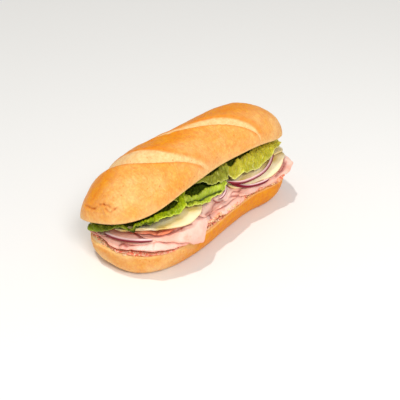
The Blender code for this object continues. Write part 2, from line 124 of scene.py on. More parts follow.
# Slices and leaves: name, kind, level, thickness, centre, half sizes, turn in degrees, roundness, reach,
# and the front edge, which the table below gives
Slice = namedtuple("Slice", "name kind level thickness centre half_sizes turn roundness reach front")
SLICES = (
    ("salami_1", "salami", 0.045, 0.0011, (-0.073, -0.012), (0.0355, 0.037), 0, 1.0, 0.0000),
    ("salami_2", "salami", 0.045, 0.0011, (0.000, -0.012), (0.0355, 0.037), 0, 1.0, 0.0000),
    ("salami_3", "salami", 0.045, 0.0011, (0.072, -0.012), (0.0345, 0.037), 0, 1.0, 0.0000),
    ("salami_4", "salami", 0.125, 0.0011, (-0.037, -0.013), (0.0355, 0.037), 0, 1.0, 0.0005),
    ("salami_5", "salami", 0.125, 0.0011, (0.037, -0.013), (0.0355, 0.037), 0, 1.0, 0.0005),
    ("ham_1", "ham", 0.198, 0.0012, (-0.075, -0.006), (0.0370, 0.042), 0, 0.8, -0.0045),
    ("ham_2", "ham", 0.205, 0.0012, (0.055, -0.004), (0.0620, 0.044), 0, 0.7, 0.0030),
    ("ham_3", "ham", 0.290, 0.0012, (-0.074, -0.008), (0.0360, 0.046), 4, 0.8, 0.0030),
    ("ham_4", "ham", 0.290, 0.0012, (-0.003, -0.010), (0.0310, 0.044), 0, 0.3, 0.0100),
    ("ham_5", "ham", 0.290, 0.0012, (0.074, -0.004), (0.0420, 0.044), 0, 0.8, 0.0050),
    ("ham_6", "ham", 0.385, 0.0012, (-0.058, -0.018), (0.0310, 0.043), -20, 0.6, 0.0170),
    ("ham_7", "ham", 0.380, 0.0012, (0.050, -0.006), (0.0540, 0.045), 0, 0.7, 0.0080),
    ("capicola_1", "capicola", 0.475, 0.0012, (-0.066, -0.003), (0.0270, 0.041), 0, 0.9, 0.0100),
    ("ham_8", "ham", 0.475, 0.0012, (-0.014, -0.006), (0.0235, 0.043), 0, 0.6, 0.0100),
    ("provolone_1", "provolone", 0.575, 0.0020, (-0.060, -0.008), (0.0410, 0.042), 0, 1.0, 0.0200),
    ("provolone_2", "provolone", 0.490, 0.0020, (0.062, -0.004), (0.0500, 0.048), 0, 1.0, 0.0200),
    ("provolone_3", "provolone", 0.590, 0.0020, (0.082, 0.002), (0.0390, 0.041), 0, 1.0, 0.0200),
    ("lettuce_1", "lettuce", 0.850, 0.0008, (-0.071, 0.001), (0.0390, 0.037), -6, 0.8, 0.0200),
    ("lettuce_2", "lettuce", 0.775, 0.0008, (-0.026, -0.008), (0.0340, 0.045), 8, 0.8, 0.0200),
    ("lettuce_3", "lettuce", 0.925, 0.0008, (-0.008, -0.004), (0.0280, 0.037), 0, 0.9, 0.0200),
    ("lettuce_4", "lettuce", 0.850, 0.0008, (0.054, 0.000), (0.0560, 0.041), -3, 0.8, 0.0200),
)
# Onion arcs: name, level, centre, half sizes, first and last angle in degrees, slice height, ring thickness,
# place across the ring where the skin starts
ONION_ARCS = (
    ("onion_1", 0.705, (0.041, -0.012), (0.050, 0.0365), 224, 314, 0.0023, 0.0030, -0.10),
    ("onion_2", 0.590, (0.050, -0.010), (0.050, 0.0440), 218, 275, 0.0024, 0.0031, -0.40),
    ("onion_3", 0.620, (-0.014, -0.014), (0.024, 0.0325), 266, 318, 0.0020, 0.0022, 0.25),
    ("onion_4", 0.470, (-0.066, -0.004), (0.040, 0.0440), 168, 230, 0.0021, 0.0032, 0.35),
)
# Front edges that aren't plain arcs, as flat points from the near end to the far end, in millimetres
EDGES = {
    "ham_3": ((-104, 14.5), (-108, 2), (-111, -12), (-105.5, -24), (-101, -33), (-94, -43), (-86, -49),
              (-76, -53), (-65.5, -56.5)),
    "ham_4": ((-38, -50.5), (-20.5, -49.5), (1.5, -52), (11, -50.5), (21.5, -47.5)),
    "ham_5": ((34.5, -48.5), (53.5, -51.5), (71, -54.5), (90, -50)),
    "ham_6": ((-92, -31.5), (-88.5, -39.5), (-80, -47.5), (-67.5, -57.5), (-59, -63.5), (-51.5, -66.5),
              (-50, -63), (-47.5, -59.5), (-42.5, -55.5)),
    "ham_7": ((-3.5, -43), (5.5, -44), (21.5, -48.5), (43.5, -51.5), (70.5, -53.5), (79.5, -57),
              (90.5, -53.5), (106, -38)),
    "ham_8": ((-47, -47.5), (-38, -49), (-23.5, -45.5), (-19.5, -42.5)),
    "capicola_1": ((-93.5, -19), (-93.5, -26), (-89.5, -31), (-86, -36), (-79, -41.5)),
    "provolone_1": ((-93.5, -21), (-85.5, -29), (-79.5, -37), (-74.5, -42.5), (-67.5, -47.5),
                    (-59, -50.5), (-48, -49), (-44, -48)),
    "provolone_2": ((10, -40), (26.5, -44.5), (45, -49), (63.5, -51), (73.5, -50), (83.5, -46)),
    "lettuce_1": ((-113, 14.5), (-111.5, 6), (-109.5, -2), (-105.5, -7.5), (-102, -14), (-101, -21),
                  (-95.5, -21.5), (-92, -25), (-86.5, -33), (-76.5, -39), (-65, -43), (-56.5, -42.5)),
    "lettuce_2": ((-50.5, -42), (-43.5, -44), (-36.5, -46), (-23.5, -46), (-12, -46.5), (-3.5, -45),
                  (-1, -41.5)),
    "lettuce_3": ((-24, -33), (-18, -38), (-6.5, -41), (0.5, -41.5)),
    "lettuce_4": ((8, -34.5), (11, -43), (23.5, -42.5), (37.5, -45), (52.5, -45.5), (65, -43.5),
                  (78.5, -40), (100, -31)),
}
# Leaves: width of the bright border at the near and the far end, behind which the painted shade starts, how
# far the leaf sinks behind it, distance between the ribs, their slant
LEAVES = {
    "lettuce_1": (0.0058, 0.0058, 0.0050, 0.0044, -0.6),
    "lettuce_2": (0.0190, 0.0055, 0.0026, 0.0050, -1.2),
    "lettuce_3": (0.0100, 0.0100, 0.0025, 0.0050, -0.8),
    "lettuce_4": (0.0130, 0.0210, 0.0026, 0.0044, -0.9),
}
# Leaves darken towards the near end, in the colour of their painted shade.
LEAF_DIM_START = -0.094
LEAF_DIM_RUN = 0.010
LEAF_DIM = 0.55
LEAF_SINK_RUN = 0.0035
RIB_WIDTH = 0.30
PUFF_SHARE = 0.32
SMALL_PUFF = 0.0008
EDGE_FADE = 0.35
EDGE_SOFTNESS = math.radians(1.5)

# Second layers of slices that are folded over: level, half sizes as a share, front edge in millimetres
FOLDED = {
    "ham_2": (0.235, 0.96, ((0, -44), (30, -44.5), (60, -47), (85, -45))),
    "ham_3": (0.325, 0.93, ((-100, -4), (-104, -15), (-101, -26), (-96, -33), (-90, -38), (-80, -41))),
    "ham_4": (0.335, 0.94, ((-34, -44), (-20, -45), (4, -45.5), (18, -43))),
    "ham_5": (0.335, 0.94, ((26, -45), (45, -46.5), (68, -49), (86, -46))),
    "ham_7": (0.415, 0.95, ((-10, -39), (10, -41), (30, -46), (60, -48), (85, -47))),
}
FOLDED_THICKNESS = 0.8
FOLDED_SEED = 30
# Folds and hollows, in millimetres: from, to, width, height
FOLDS = {
    "ham_1": (((-112, -19), (-106, -18), 3, 1.8), ((-100, -34), (-92, -28), 4, 1),
              ((-109.5, -15.5), (-107.5, -21.5), 7, -1.4)),
    "ham_2": (((20, -50), (24, -40), 3, -1.2), ((60, -52), (66, -42), 3, -1)),
    "ham_3": (((-112, -19), (-106, -17.5), 2.6, 3), ((-96, -42), (-86, -34), 5, 1.2),
              ((-105.8, -14.5), (-105, -20), 6, -1.6)),
    "ham_4": (((18, -50), (8, -40), 3.5, 1.6), ((-14, -50), (-12, -36), 4, 1.2),
              ((-30, -50), (-26, -38), 3, -1.2)),
    "ham_5": (((50, -52), (48, -40), 4, 1), ((75, -54), (70, -42), 4, -1),
              ((24.5, -47.5), (13, -50.5), 3, -1.2), ((13, -50.5), (2, -52.5), 3, -1.2)),
    "ham_6": (((-49, -66), (-47, -48), 6, 1), ((-66, -58), (-60, -44), 7, 1.2),
              ((-75.5, -39.5), (-64.5, -44), 3, -1), ((-64.5, -44), (-55, -47), 3, -1)),
    "ham_7": (((-10.5, -49.5), (5, -46), 3, -1.2), ((5, -46), (21, -42.5), 3, -1.2),
              ((32, -51), (36, -40), 4, 1.2), ((45, -46), (65, -47), 2.6, -1),
              ((66.5, -50.5), (76.5, -49.5), 5, -1.6), ((77.5, -50.5), (88.5, -45.5), 8.5, -2.2),
              ((82, -57), (78, -46), 4, 1.8), ((96, -50), (90, -40), 4, 2)),
    "ham_8": (((-46, -48), (-40, -36), 3.5, 1.4), ((-36, -48), (-22.5, -45.5), 5, -1.2),
              ((-17.5, -40.5), (-16, -44.5), 4.5, -1.2), ((-16, -44.5), (-10, -46), 4.5, -1.2),
              ((-24, -46), (-22, -36), 3, 1.4)),
    "capicola_1": (((-92, -24), (-80, -20), 4, 1.2), ((-86, -36), (-76, -30), 3, -0.8)),
    "lettuce_1": (((-104, -21), (-94, -12), 4, -3.5), ((-96, -23), (-86, -33), 4, -2),
                  ((-88, -34), (-80, -20), 7, 1.2)),
    "lettuce_2": (((-50, -36.5), (-34, -40.5), 3.6, -2.2), ((-34, -40.5), (-10.5, -45), 3.6, -2.2),
                  ((-48, -33), (-30, -36.5), 3, 1.4), ((-30, -36.5), (-8, -41), 3, 1.4)),
}

# Painted shadow lines under the edge of a slice that lies on another, by kind: how many levels up it may
# lie, and the width of the line
SHADOW_LINES = {
    "salami": (0.14, 0.0010),
    "ham": (0.14, 0.0011),
    "capicola": (0.14, 0.0011),
    "provolone": (0.38, 0.0060),
    "lettuce": (0.14, 0.0016),
}
RIM_STEPS = 120
EDGE_CURL = 0.0005
CURL_WIDTH = 0.0040
FURROW_SHARE = 0.3
RIM_WIDTH = 0.0012

# Fine grids: points round half an outline and levels of each half roll, columns and rows of a slice
BOTTOM_OUTLINE_STEPS = 200
BOTTOM_LEVELS = 34
TOP_OUTLINE_STEPS = 300
NEAR_DENSITY = 0.55
TOP_LEVELS = 84
TOP_LAST_LEVEL = 0.96
OUTLINE_SAMPLES = 4001
GRID = {
    "salami": (48, 34),
    "ham": (84, 60),
    "capicola": (64, 52),
    "provolone": (56, 46),
    "lettuce": (158, 108),
}
EDGE_LINES = 3

# By kind: ruffle height and size at the edge, crinkle height and size, raggedness of the outline
TEXTURE = {
    "salami": (0.0003, 0.012, 0.00010, 0.004, 0.0007),
    "ham": (0.0006, 0.016, 0.00012, 0.006, 0.0008),
    "capicola": (0.0006, 0.012, 0.00015, 0.005, 0.0010),
    "provolone": (0.0003, 0.030, 0.00004, 0.006, 0.0002),
    "lettuce": (0.0017, 0.008, 0.00055, 0.0035, 0.0015),
}
NOISE_SHIFT = 7.3

# Bits along the rim
BALL_BANDS = 6
BALL_TURNS = 9
RIM_START = 0.024
BITTY_SLICES = ("salami_4", "salami_5", "ham_1", "ham_2", "ham_4", "ham_5")
BIT_BAND = 0.0024
BIT_START = 0.046
BIT_BACK = 0.004
BIT_LIFT = 0.0009
# Name, slot, seed, counts on the roll's rim and on the slices, range inwards, range of height, range of size
BITS = (
    ("crumbs", "crust", 3, 400, 330, (0.0001, 0.0040), (0.0002, 0.0024), (0.0005, 0.0011)),
    ("meat_flecks", "salami", 8, 360, 420, (0.0003, 0.0046), (0.0004, 0.0034), (0.0006, 0.0012)),
)

# Onion arcs: points along and round, squareness of the section, taper of the ends
ONION_STEPS = 90
ONION_TURNS = 20
ONION_SQUARENESS = 0.55
ONION_TAPER = 0.35
SKIN_FADE = 0.20

# Stage
FLOOR_SIZE = 6.0
SUN_STRENGTH = 1.21
SUN_SOFTNESS = math.radians(2.5)
SUN_COLOUR = (1.0, 0.97, 0.92)
SUN_FROM = (-0.27, 0.08, 1.15)
FILL_STRENGTH = 11.5
FILL_SIZE = 0.45
FILL_PLACE = (-0.55, -0.90, 1.0)
SKY_STRENGTH = 0.42

# Creases in the crust at the near end, as points on the surface, in millimetres
CREASES = (
    ((-109.5, 21, 58.5), (-110.5, 17.2, 59.2), (-111.5, 12.5, 60), (-111.5, 9, 60.6), (-111.2, 6, 62.2)),
    ((-110.5, 5, 64), (-110, 2.8, 66), (-109.5, -2, 68.2), (-109.5, -6.9, 69.2), (-109.5, -9.5, 68.6)),
    ((-110.8, -5.8, 66.2), (-111, -8.2, 65.2), (-110.8, -11, 65.2), (-109.3, -13.5, 67.7),
     (-108, -15.6, 69.7)),
)
LIP_BAND = 0.0012
CREASE_WIDTH = 0.0008
CREASE_DEPTH = 0.0016
CREASE_WANDER = 0.0006
CREASE_WANDER_SIZE = 0.004
CREASE_SWELL = 0.0007
CREASE_SWELL_PLACE = 0.0026
CREASE_SWELL_WIDTH = 0.0016
# Spots baked deeper, or, where the amount is below zero, pale spots of painted sheen: centre, radius, amount
BAKED_AND_SHEEN_SPOTS = (
    ((-0.105, 0.017, 0.068), 0.016, 0.60),
    ((-0.095, 0.012, 0.080), 0.016, 0.55),
    ((-0.102, -0.012, 0.080), 0.015, -0.45),
    ((-0.100, -0.028, 0.066), 0.010, 0.25),
    ((-0.038, -0.028, 0.091), 0.016, -0.45),
    ((-0.025, -0.037, 0.078), 0.012, -0.60),
    ((-0.060, 0.006, 0.095), 0.016, 0.55),
    ((-0.040, 0.000, 0.098), 0.018, 0.45),
    ((-0.055, -0.037, 0.080), 0.014, 0.40),
    ((0.024, 0.006, 0.099), 0.024, 0.40),
    ((0.060, 0.004, 0.098), 0.026, 0.45),
    ((0.010, -0.036, 0.084), 0.018, 0.20),
)
# Pale crumbly spots on the rim of the bottom half
PALE_RIM_SPOTS = (
    ((-0.1036, -0.0209, 0.0255), 0.0050, 1.1),
    ((-0.0930, -0.0380, 0.0255), 0.0035, 0.6),
)


def linear(red, green, blue):
    """Linear colour of an 8-bit screen colour."""
    shares = (red / 255, green / 255, blue / 255)
    return tuple(s / 12.92 if s <= 0.04045 else ((s + 0.055) / 1.055) ** 2.4 for s in shares)


def metres(values):
    """Nested tuples of millimetres in metres."""
    if isinstance(values, tuple):
        return tuple(metres(value) for value in values)
    return values / 1000


def bell(distance, width):
    return np.exp(-((distance / width) ** 2))


def swell(x, half_length, amounts):
    share = np.asarray(x)[..., None] / half_length
    return (bell(share - STATIONS, STATION_SPREAD) * np.array(amounts)).sum(axis=-1)


def noise_at(points, size, seed=0.0):
    """Smooth noise, about -1 to 1, at points of any shape (..., 3)."""
    flat = np.asarray(points, float).reshape(-1, 3) / size + seed * NOISE_SHIFT
    values = np.array([noise.noise(Vector(point)) for point in flat])
    return values.reshape(np.asarray(points).shape[:-1])


def half_outline(half_length, half_width, squareness, count, density=0.0):
    angle = np.linspace(0.0, math.pi, OUTLINE_SAMPLES)
    x = half_length * np.sign(np.cos(angle)) * np.abs(np.cos(angle)) ** (2 / squareness)
    share = np.abs(np.sin(angle)) ** (2 / squareness)
    run = np.concatenate(([0.0], np.cumsum(np.hypot(np.diff(x), half_width * np.diff(share)))))
    share_along = np.linspace(0.0, 1.0, count + 1)
    steps = run[-1] * share_along * (1.0 + density * (1.0 - share_along))
    return np.interp(steps, run, x), np.interp(steps, run, share)


def plan_ring(half_length, half_width, squareness, front, back, count, density=0.0):
    x, share = half_outline(half_length, half_width, squareness, count, density)
    behind = half_width * share * (1.0 + swell(x, half_length, back))
    before = -half_width * share * (1.0 + swell(x, half_length, front))
    return np.concatenate((np.stack((x, behind), 1), np.stack((x, before), 1)[-2:0:-1]))


def inset_ring(ring, half_length, half_width, inset):
    scale = np.array(((half_length - inset) / half_length, (half_width - inset) / half_width))
    return ring * scale


def bottom_ring():
    return plan_ring(BOTTOM_HALF_LENGTH, BOTTOM_HALF_WIDTH, BOTTOM_SQUARENESS, BOTTOM_FRONT_SWELL,
                     BOTTOM_BACK_SWELL, BOTTOM_OUTLINE_STEPS)


def at_height(plan, height):
    return np.column_stack((plan, np.broadcast_to(height, len(plan))))


def relief_at(points, rows):
    """Sum of noises, each given as its height, size and seed."""
    return sum(height * noise_at(points, size, seed) for height, size, seed in rows)


def lip_height(x, y):
    return TOP_LIP_HEIGHT + swell(x, TOP_HALF_LENGTH, TOP_LIP_LIFT) - TOP_TILT * y


def cut_room(x, y):
    top = lip_height(x - TOP_CENTRE[0], y - TOP_CENTRE[1])
    return np.maximum(top - BOTTOM_RIM_HEIGHT - 2 * GAP, LEAST_ROOM)


def front_reach(x, toward_front):
    return CORE_RADIUS * (1.0 + toward_front * swell(x, BOTTOM_HALF_LENGTH, BOTTOM_FRONT_SWELL))


def away_from_core(x, y):
    core = np.clip(x, CORE_LEFT, CORE_RIGHT)
    out_y = np.minimum(y, 0.0)
    distance = np.hypot(x - core, out_y) + TINY
    return core, (x - core) / distance, out_y / distance, distance


def drape(x, y, level):
    """Place in the sandwich of flat point (x, y) at a level from 0 on the bottom half to 1 under the top."""
    phase = 2 * math.pi * x / WAVE_LENGTH + WAVE_TURN * level + WAVE_START
    wave = np.sin(phase) * (WAVE_DEPTH - WAVE_FRONT_GAIN * np.tanh(y / WAVE_FRONT_FADE))
    level = level + WAVE_SHARE * 4.0 * level * (1.0 - level) * wave
    core, out_x, out_y, distance = away_from_core(x, y)
    inside_y = np.maximum(y, 0.0)
    rim = front_reach(x, -out_y)
    radius = level * cut_room(x, y)
    for _ in range(BEND_REPEATS):
        plateau = rim - BEND_SHARE * radius
        held = np.minimum(distance, plateau)
        edge_x = core + out_x * held
        edge_y = inside_y + out_y * held
        radius = level * cut_room(edge_x, edge_y)
    past = np.maximum(distance - plateau, 0.0)
    angle = np.minimum(past / radius, BEND_LIMIT)
    hang = past - radius * angle
    out = radius * np.sin(angle) + hang * np.cos(angle)
    height = radius * np.cos(angle) - hang * np.sin(angle)
    base = BOTTOM_RIM_HEIGHT + GAP
    return np.stack((edge_x + out_x * out, edge_y + out_y * out, base + height), axis=-1)


def drape_normal(x, y, level):
    along = drape(x + PROBE, y, level) - drape(x - PROBE, y, level)
    across = drape(x, y + PROBE, level) - drape(x, y - PROBE, level)
    normal = np.cross(along, across)
    return normal / np.linalg.norm(normal, axis=-1)[..., None]


def trim_to_reach(x, y, reach):
    core, _, out_y, distance = away_from_core(x, y)
    keep = np.minimum(1.0, (front_reach(x, -out_y) + reach) / distance)
    return core + (x - core) * keep, np.where(y < 0.0, y * keep, y)


def make_mesh(name, points, faces, fields=None):
    """Smooth mesh object, with the named values of its points as attributes."""
    mesh = bpy.data.meshes.new(name)
    mesh.from_pydata([tuple(point) for point in points], [], [tuple(face) for face in faces])
    mesh.validate()
    mesh.shade_smooth()
    for field, values in (fields or {}).items():
        layer = mesh.attributes.new(field, "FLOAT", "POINT")
        layer.data.foreach_set("value", np.asarray(values, np.float32).ravel())
    item = bpy.data.objects.new(name, mesh)
    bpy.context.scene.collection.objects.link(item)
    return item


def dress(item, node, slot, *materials):
    """Give the piece its materials, hang it under the root body and hide the solid it replaces."""
    for material in materials:
        item.data.materials.append(material)
    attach(item, "root")
    if node:
        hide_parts(node)
    return item


class Paint:
    """A Principled material and short names for the nodes that feed it."""

    def __init__(self, name, roughness):
        self.material = bpy.data.materials.new(name)
        self.material.use_nodes = True
        self.tree = self.material.node_tree
        self.shader = self.tree.nodes["Principled BSDF"]
        self.shader.inputs["Roughness"].default_value = roughness
        self.place = self.add("ShaderNodeTexCoord").outputs["Object"]

    def add(self, kind, **settings):
        node = self.tree.nodes.new(kind)
        for key, value in settings.items():
            setattr(node, key, value)
        return node

    def feed(self, socket, value):
        if isinstance(value, bpy.types.NodeSocket):
            self.tree.links.new(value, socket)
        elif isinstance(value, tuple) and len(value) == 3 and socket.type == "RGBA":
            socket.default_value = (*value, 1.0)
        else:
            socket.default_value = value

    def field(self, name, amount=1.0):
        value = self.add("ShaderNodeAttribute", attribute_name=name).outputs["Fac"]
        return value if amount == 1.0 else self.calc("MULTIPLY", value, amount)

    def stretched(self, stretch):
        node = self.add("ShaderNodeMapping")
        self.feed(node.inputs["Vector"], self.place)
        node.inputs["Scale"].default_value = stretch
        return node.outputs["Vector"]

    def noise(self, size, detail=3.0, roughness=0.55, stretch=None, distortion=0.0):
        node = self.add("ShaderNodeTexNoise")
        self.feed(node.inputs["Vector"], self.stretched(stretch) if stretch else self.place)
        node.inputs["Scale"].default_value = 1.0 / size
        node.inputs["Detail"].default_value = detail
        node.inputs["Roughness"].default_value = roughness
        node.inputs["Distortion"].default_value = distortion
        return node.outputs["Fac"]

    def cells(self, size):
        node = self.add("ShaderNodeTexVoronoi")
        self.feed(node.inputs["Vector"], self.place)
        node.inputs["Scale"].default_value = 1.0 / size
        return node.outputs["Distance"]

    def remap(self, value, low, high, to_low=0.0, to_high=1.0):
        node = self.add("ShaderNodeMapRange", interpolation_type="SMOOTHSTEP")
        self.feed(node.inputs["Value"], value)
        node.inputs["From Min"].default_value = low
        node.inputs["From Max"].default_value = high
        node.inputs["To Min"].default_value = to_low
        node.inputs["To Max"].default_value = to_high
        return node.outputs["Result"]

    def calc(self, operation, first, second):
        node = self.add("ShaderNodeMath", operation=operation)
        self.feed(node.inputs[0], first)
        self.feed(node.inputs[1], second)
        return node.outputs[0]

    def blend(self, share, first, second, mode="MIX"):
        node = self.add("ShaderNodeMix", data_type="RGBA", blend_type=mode)
        self.feed(node.inputs[0], share)
        self.feed(node.inputs[6], first)
        self.feed(node.inputs[7], second)
        return node.outputs[2]

    def bump(self, height, strength, distance, under=None):
        node = self.add("ShaderNodeBump")
        node.inputs["Strength"].default_value = strength
        node.inputs["Distance"].default_value = distance
        self.feed(node.inputs["Height"], height)
        if under is not None:
            self.feed(node.inputs["Normal"], under)
        return node.outputs["Normal"]

    def finish(self, colour, normal=None, roughness=None, subsurface=0.0, radius=(1.0, 0.4, 0.2),
               depth=0.002, specular=0.5):
        self.feed(self.shader.inputs["Base Color"], colour)
        if normal is not None:
            self.feed(self.shader.inputs["Normal"], normal)
        if roughness is not None:
            self.feed(self.shader.inputs["Roughness"], roughness)
        self.shader.inputs["Subsurface Weight"].default_value = subsurface
        self.shader.inputs["Subsurface Radius"].default_value = radius
        self.shader.inputs["Subsurface Scale"].default_value = depth
        self.shader.inputs["Specular IOR Level"].default_value = specular
        return self.material


def crust_material():
    """Golden crust with wrinkles, pores and specks, pale in the scores and deep along their edges."""
    paint = Paint("crust", 0.42)
    blotch = paint.remap(paint.noise(0.015, 4.0, 0.6, distortion=0.5), 0.34, 0.66)
    mottle = paint.remap(paint.noise(0.0048, 4.0, 0.65), 0.34, 0.66)
    grain = paint.remap(paint.noise(0.0019, 3.0, 0.7), 0.34, 0.66)
    wrinkle = paint.noise(0.0046, 4.0, 0.6, stretch=(2.0, 0.5, 0.7), distortion=1.4)
    golden = paint.blend(blotch, linear(244, 185, 112), linear(240, 168, 84))
    deep = paint.blend(mottle, linear(234, 136, 2), linear(238, 150, 14))
    # Deeper golden: browning on the top half; on the front of the bottom half, partly the crust's own colour
    # and partly painted shade.
    browning_and_shade = paint.field("browning_and_shade")
    colour = paint.blend(browning_and_shade, golden, deep)
    # Pale patches: painted sheen on the top half, pale mottling on the bottom half.
    colour = paint.blend(paint.field("pale_mottle_and_sheen"), colour, linear(252, 208, 144))
    colour = paint.blend(paint.remap(wrinkle, 0.54, 0.72, 0.0, 0.45), colour, linear(232, 132, 34))
    lifted = paint.calc("MULTIPLY", paint.remap(wrinkle, 0.46, 0.34, 0.0, 0.28),
                        paint.remap(browning_and_shade, 0.2, 0.9, 1.0, 0.2))
    colour = paint.blend(lifted, colour, linear(254, 206, 132))
    pale = paint.blend(mottle, linear(246, 196, 130), linear(249, 206, 144))
    pale = paint.blend(paint.remap(paint.cells(0.0030), 0.03, 0.18, 0.20, 0.0), pale, linear(236, 164, 84))
    colour = paint.blend(paint.field("band", 0.92), colour, pale)
    colour = paint.blend(paint.field("ridge", 0.80), colour, linear(238, 132, 20))
    colour = paint.blend(paint.field("lip"), colour, linear(252, 208, 140))
    # Dark lines in the creases: painted shade.
    colour = paint.blend(paint.field("crease"), colour, linear(194, 80, 4))
    specks = paint.remap(paint.cells(0.0065), 0.05, 0.13, 0.60, 0.0)
    colour = paint.blend(specks, colour, linear(206, 104, 20))
    colour = paint.blend(0.06, colour, mottle, "OVERLAY")
    colour = paint.blend(0.11, colour, grain, "OVERLAY")
    normal = paint.bump(wrinkle, 0.60, 0.0014)
    normal = paint.bump(paint.noise(0.0016, 4.0, 0.6), 0.40, 0.0005, normal)
    roughness = paint.remap(mottle, 0.0, 1.0, 0.38, 0.52)
    return paint.finish(colour, normal, roughness, subsurface=0.03, radius=(1.0, 0.5, 0.2), depth=0.002,
                        specular=0.18)


def crumb_material():
    paint = Paint("crumb", 0.85)
    pores = paint.remap(paint.cells(0.0028), 0.05, 0.55)
    colour = paint.blend(paint.noise(0.006, 3.0), linear(250, 224, 176), linear(240, 206, 150))
    colour = paint.blend(pores, linear(214, 168, 104), colour)
    normal = paint.bump(pores, 0.7, 0.0010)
    return paint.finish(colour, normal, subsurface=0.15, depth=0.002, specular=0.2)


def salami_material():
    paint = Paint("salami", 0.40)
    fat = paint.remap(paint.noise(0.0022, 3.0, 0.65, distortion=0.8), 0.46, 0.56)
    meat = paint.blend(paint.noise(0.004, 3.0), linear(238, 108, 78), linear(250, 154, 116))
    colour = paint.blend(fat, meat, linear(253, 214, 178))
    colour = paint.blend(paint.field("rim", 0.4), colour, linear(232, 96, 60))
    # Painted shadow under the edges of the slices above.
    colour = paint.blend(paint.field("gap", 0.5), colour, linear(150, 34, 22))
    normal = paint.bump(paint.noise(0.0014, 3.0, 0.6), 0.6, 0.0008)
    return paint.finish(colour, normal, subsurface=0.10, depth=0.0010, specular=0.4)


def ham_material(name, light, deep, rim, band):
    """Pale meat with faint darker bands and a darker cut edge, and dark red painted shade under the edges of
    the slices above and along its furrows.
    """
    paint = Paint(name, 0.45)
    blotch = paint.remap(paint.noise(0.018, 3.0, 0.55), 0.38, 0.64)
    streaks = paint.noise(0.010, 3.0, 0.6, stretch=(0.6, 2.2, 1.0), distortion=0.7)
    bands = paint.remap(streaks, 0.56, 0.70, 0.0, 0.6)
    grain = paint.noise(0.0022, 3.0, 0.6, stretch=(0.5, 1.0, 1.0))
    colour = paint.blend(blotch, light, deep)
    colour = paint.blend(bands, colour, band)
    colour = paint.blend(paint.remap(grain, 0.55, 0.75, 0.0, 0.30), colour, band)
    colour = paint.blend(paint.field("rim", 0.6), colour, band)
    # Painted shade, in the dark red rim colour: shadow lines under the edges of the slices above, and shade
    # along the furrows.
    painted_shade = paint.calc("MAXIMUM", paint.field("gap", 0.90), paint.field("vein", 0.85))
    colour = paint.blend(painted_shade, colour, rim)
    normal = paint.bump(grain, 0.30, 0.0005)
    return paint.finish(colour, normal, subsurface=0.12, radius=(1.0, 0.30, 0.22), depth=0.0016,
                        specular=0.35)


def provolone_material():
    paint = Paint("provolone", 0.38)
    colour = paint.blend(paint.noise(0.016, 2.0), linear(253, 239, 206), linear(250, 228, 182))
    colour = paint.blend(paint.field("rim", 0.5), colour, linear(236, 200, 132))
    # Yellow-green painted shadow under the edges of the leaves and slices above.
    colour = paint.blend(paint.field("gap", 0.80), colour, linear(208, 172, 60))
    normal = paint.bump(paint.noise(0.003, 3.0), 0.12, 0.0004)
    return paint.finish(colour, normal, subsurface=0.20, radius=(1.0, 0.8, 0.4), depth=0.0025, specular=0.3)


def lettuce_material(name, deep, mid, bright, rib):
    """Leaf with painted light, bright on its crinkles, a bright border, and painted shade, dark, where it
    goes under the roll.
    """
    paint = Paint(name, 0.42)
    patch = paint.remap(paint.noise(0.007, 3.0, 0.6), 0.34, 0.66)
    colour = paint.blend(patch, deep, mid)
    # Painted light: brighter on the raised crinkles, darker between them.
    colour = paint.blend(paint.field("high"), colour, bright)
    colour = paint.blend(paint.field("vein", 0.8), colour, rib)
    colour = paint.blend(paint.field("rim", 0.6), colour, rib)
    # Painted shade where the leaf goes under the roll and along its furrows, and towards the near end.
    colour = paint.blend(paint.field("deep"), colour, linear(62, 74, 12))
    normal = paint.bump(paint.noise(0.0015, 3.0, 0.6), 0.35, 0.0004)
    return paint.finish(colour, normal, subsurface=0.10, radius=(0.5, 1.0, 0.15), depth=0.0010,
                        specular=0.22)


def onion_material():
    paint = Paint("onion", 0.35)
    flesh = paint.blend(paint.noise(0.004, 2.0), linear(250, 222, 216), linear(236, 184, 190))
    skin = paint.blend(paint.noise(0.006, 3.0), linear(150, 14, 44), linear(96, 4, 22))
    colour = paint.blend(paint.field("skin"), flesh, skin)
    normal = paint.bump(paint.noise(0.002, 2.0), 0.12, 0.0003)
    return paint.finish(colour, normal, subsurface=0.03, radius=(1.0, 0.5, 0.6), depth=0.0010, specular=0.25)


def bits_material(name, first, second, roughness):
    """Small bits, each with its own share of two colours."""
    paint = Paint(name, roughness)
    grain = paint.calc("MULTIPLY", paint.noise(0.0012, 3.0), 0.3)
    share = paint.calc("ADD", paint.field("tone", 0.8), grain)
    colour = paint.blend(share, first, second)
    normal = paint.bump(paint.noise(0.0006, 3.0), 0.4, 0.0003)
    return paint.finish(colour, normal, subsurface=0.10, depth=0.0010, specular=0.3)


def smooth_path(points):
    """Path with its corners cut again and again."""
    path = np.array(points)
    for _ in range(CORNER_CUTS):
        first, last = path[:-1], path[1:]
        cut = np.stack((0.75 * first + 0.25 * last, 0.25 * first + 0.75 * last), 1).reshape(-1, 2)
        path = np.concatenate((path[:1], cut, path[-1:]))
    return path


def side_of(plan, points):
    """Distance of plan points from a path, positive on its right-hand side."""
    path = smooth_path(points)
    away = plan[:, None, :] - path[None]
    nearest = (away**2).sum(axis=2).argmin(axis=1)
    heading = np.gradient(path, axis=0)[nearest]
    offset = away[np.arange(len(plan)), nearest]
    turn = offset[:, 1] * heading[:, 0] - offset[:, 0] * heading[:, 1]
    return -np.sign(turn) * np.hypot(offset[:, 0], offset[:, 1])


def soft_step(distance, width):
    return 0.5 + 0.5 * np.tanh(distance / width)


